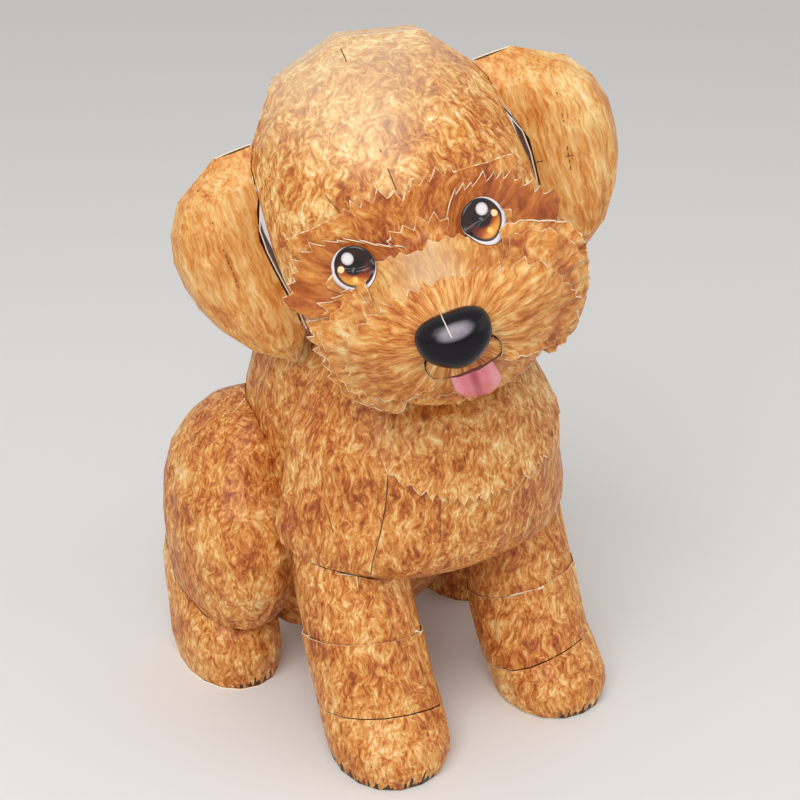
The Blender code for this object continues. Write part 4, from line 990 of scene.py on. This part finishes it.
def make_eye(side, tag, cards):
    """A printed disc that lies on the patch and the bridge, bent to them."""
    matrix = eye_frame(side)
    normal = (matrix.to_3x3() @ Vector((0, 0, 1))).normalized()
    offsets = []
    for ring in range(EYE_RINGS + 1):
        size = EYE_RADIUS * ring / EYE_RINGS
        for step in range(EYE_STEPS):
            turn = 2 * math.pi * step / EYE_STEPS
            offsets.append((size * math.cos(turn), size * math.sin(turn)))
    heights = seat_heights(matrix, normal, offsets, cards)
    middle_height = sum(heights[:EYE_STEPS]) / EYE_STEPS
    builder = bmesh.new()
    middle = builder.verts.new(matrix @ Vector((0.0, 0.0, middle_height + EYE_MIDDLE_LIFT)))
    previous = None
    for ring in range(1, EYE_RINGS + 1):
        row = []
        for step in range(EYE_STEPS):
            index = ring * EYE_STEPS + step
            across, above = offsets[index]
            bulge = EYE_BULGE * (1 - (ring / EYE_RINGS) ** 2)
            row.append(builder.verts.new(matrix @ Vector((across, above, heights[index] + EYE_LIFT + bulge))))
        for step in range(EYE_STEPS):
            after = (step + 1) % EYE_STEPS
            if previous is None:
                face = builder.faces.new((middle, row[step], row[after]))
            else:
                face = builder.faces.new((previous[step], row[step], row[after], previous[after]))
            face.smooth = True
        previous = row
    face_outward(builder, middle, normal)
    look = eye_material("eye_look_" + tag, matrix, side)
    new_card("eye_print_" + tag, builder, (look, RIM_DARK, EDGE), 1, ["eye_" + tag], back=2)


bpy.context.view_layer.update()
for side, tag in SIDES:
    graph = bpy.context.evaluated_depsgraph_get()
    seats = ("bridge_card", "brow_card", "eye_patch_card_" + tag, "bridge_back_card")
    make_eye(side, tag, search_tree([bpy.data.objects[name].evaluated_get(graph) for name in seats]))

# Stage, lights and camera
FLOOR_HALF = 3.0
LIGHT_TARGET = (0.0, 0.0, 0.1)
CAMERA_YAW = math.radians(35.0)
CAMERA_PITCH = math.atan(1.87 / 3.9)
CAMERA_ROLL = 0.0177
CAMERA_PLACE = Vector((-0.2386, -0.335, 0.290)) + SHIFT
CAMERA_LENS = 70.2


def make_stage():
    """A plain pale floor."""
    builder = bmesh.new()
    corners = ((-1, -1), (1, -1), (1, 1), (-1, 1))
    builder.faces.new([builder.verts.new((x * FLOOR_HALF, y * FLOOR_HALF, 0.0)) for x, y in corners])
    paint = Tree("floor_paint").finish((0.80, 0.80, 0.79), 0.8)
    new_object("floor", builder, (paint,))


def make_world():
    """Soft warm light from all round, with a pale backdrop where the world itself is seen."""
    world = bpy.data.worlds.new("studio")
    bpy.context.scene.world = world
    world.use_nodes = True
    tree = world.node_tree
    around = tree.nodes["Background"]
    around.inputs["Color"].default_value = (1.0, 0.98, 0.96, 1.0)
    around.inputs["Strength"].default_value = 0.55
    backdrop = tree.nodes.new("ShaderNodeBackground")
    backdrop.inputs["Color"].default_value = (0.90, 0.90, 0.90, 1.0)
    backdrop.inputs["Strength"].default_value = 1.0
    path = tree.nodes.new("ShaderNodeLightPath")
    seen = path.outputs["Is Camera Ray"]
    for kind in ("Is Glossy Ray", "Is Transmission Ray"):
        larger = tree.nodes.new("ShaderNodeMath")
        larger.operation = "MAXIMUM"
        tree.links.new(seen, larger.inputs[0])
        tree.links.new(path.outputs[kind], larger.inputs[1])
        seen = larger.outputs[0]
    mix = tree.nodes.new("ShaderNodeMixShader")
    tree.links.new(seen, mix.inputs[0])
    tree.links.new(around.outputs[0], mix.inputs[1])
    tree.links.new(backdrop.outputs[0], mix.inputs[2])
    tree.links.new(mix.outputs[0], tree.nodes["World Output"].inputs[0])


def make_light(name, place, size, power):
    """A square lamp that looks at the dog."""
    data = bpy.data.lights.new(name, "AREA")
    data.size = size
    data.energy = power
    light = bpy.data.objects.new(name, data)
    bpy.context.scene.collection.objects.link(light)
    light.location = place
    light.rotation_euler = (Vector(LIGHT_TARGET) - Vector(place)).to_track_quat("-Z", "Y").to_euler()


def turned(vector):
    """A direction turned by the camera's yaw."""
    cosine = math.cos(CAMERA_YAW)
    sine = math.sin(CAMERA_YAW)
    x, y, z = vector
    return Vector((cosine * x + sine * y, -sine * x + cosine * y, z))


def make_camera():
    """The camera at the photograph's place, a little rolled."""
    right = turned((1.0, 0.0, 0.0))
    forward = turned((0.0, math.cos(CAMERA_PITCH), -math.sin(CAMERA_PITCH)))
    upward = turned((0.0, math.sin(CAMERA_PITCH), math.cos(CAMERA_PITCH)))
    across = math.cos(CAMERA_ROLL) * right + math.sin(CAMERA_ROLL) * upward
    above = -math.sin(CAMERA_ROLL) * right + math.cos(CAMERA_ROLL) * upward
    matrix = Matrix((across, above, -forward)).transposed().to_4x4()
    matrix.translation = CAMERA_PLACE
    data = bpy.data.cameras.new("camera")
    data.lens = CAMERA_LENS
    data.sensor_width = 36.0
    data.clip_start = 0.01
    camera = bpy.data.objects.new("camera", data)
    bpy.context.scene.collection.objects.link(camera)
    camera.matrix_world = matrix
    bpy.context.scene.camera = camera


make_stage()
make_world()
make_light("key", (-0.55, -0.45, 0.85), 0.7, 7.0)
make_light("fill", (0.7, -0.8, 0.5), 0.9, 1.6)
make_camera()
bpy.context.scene.view_settings.view_transform = "Standard"
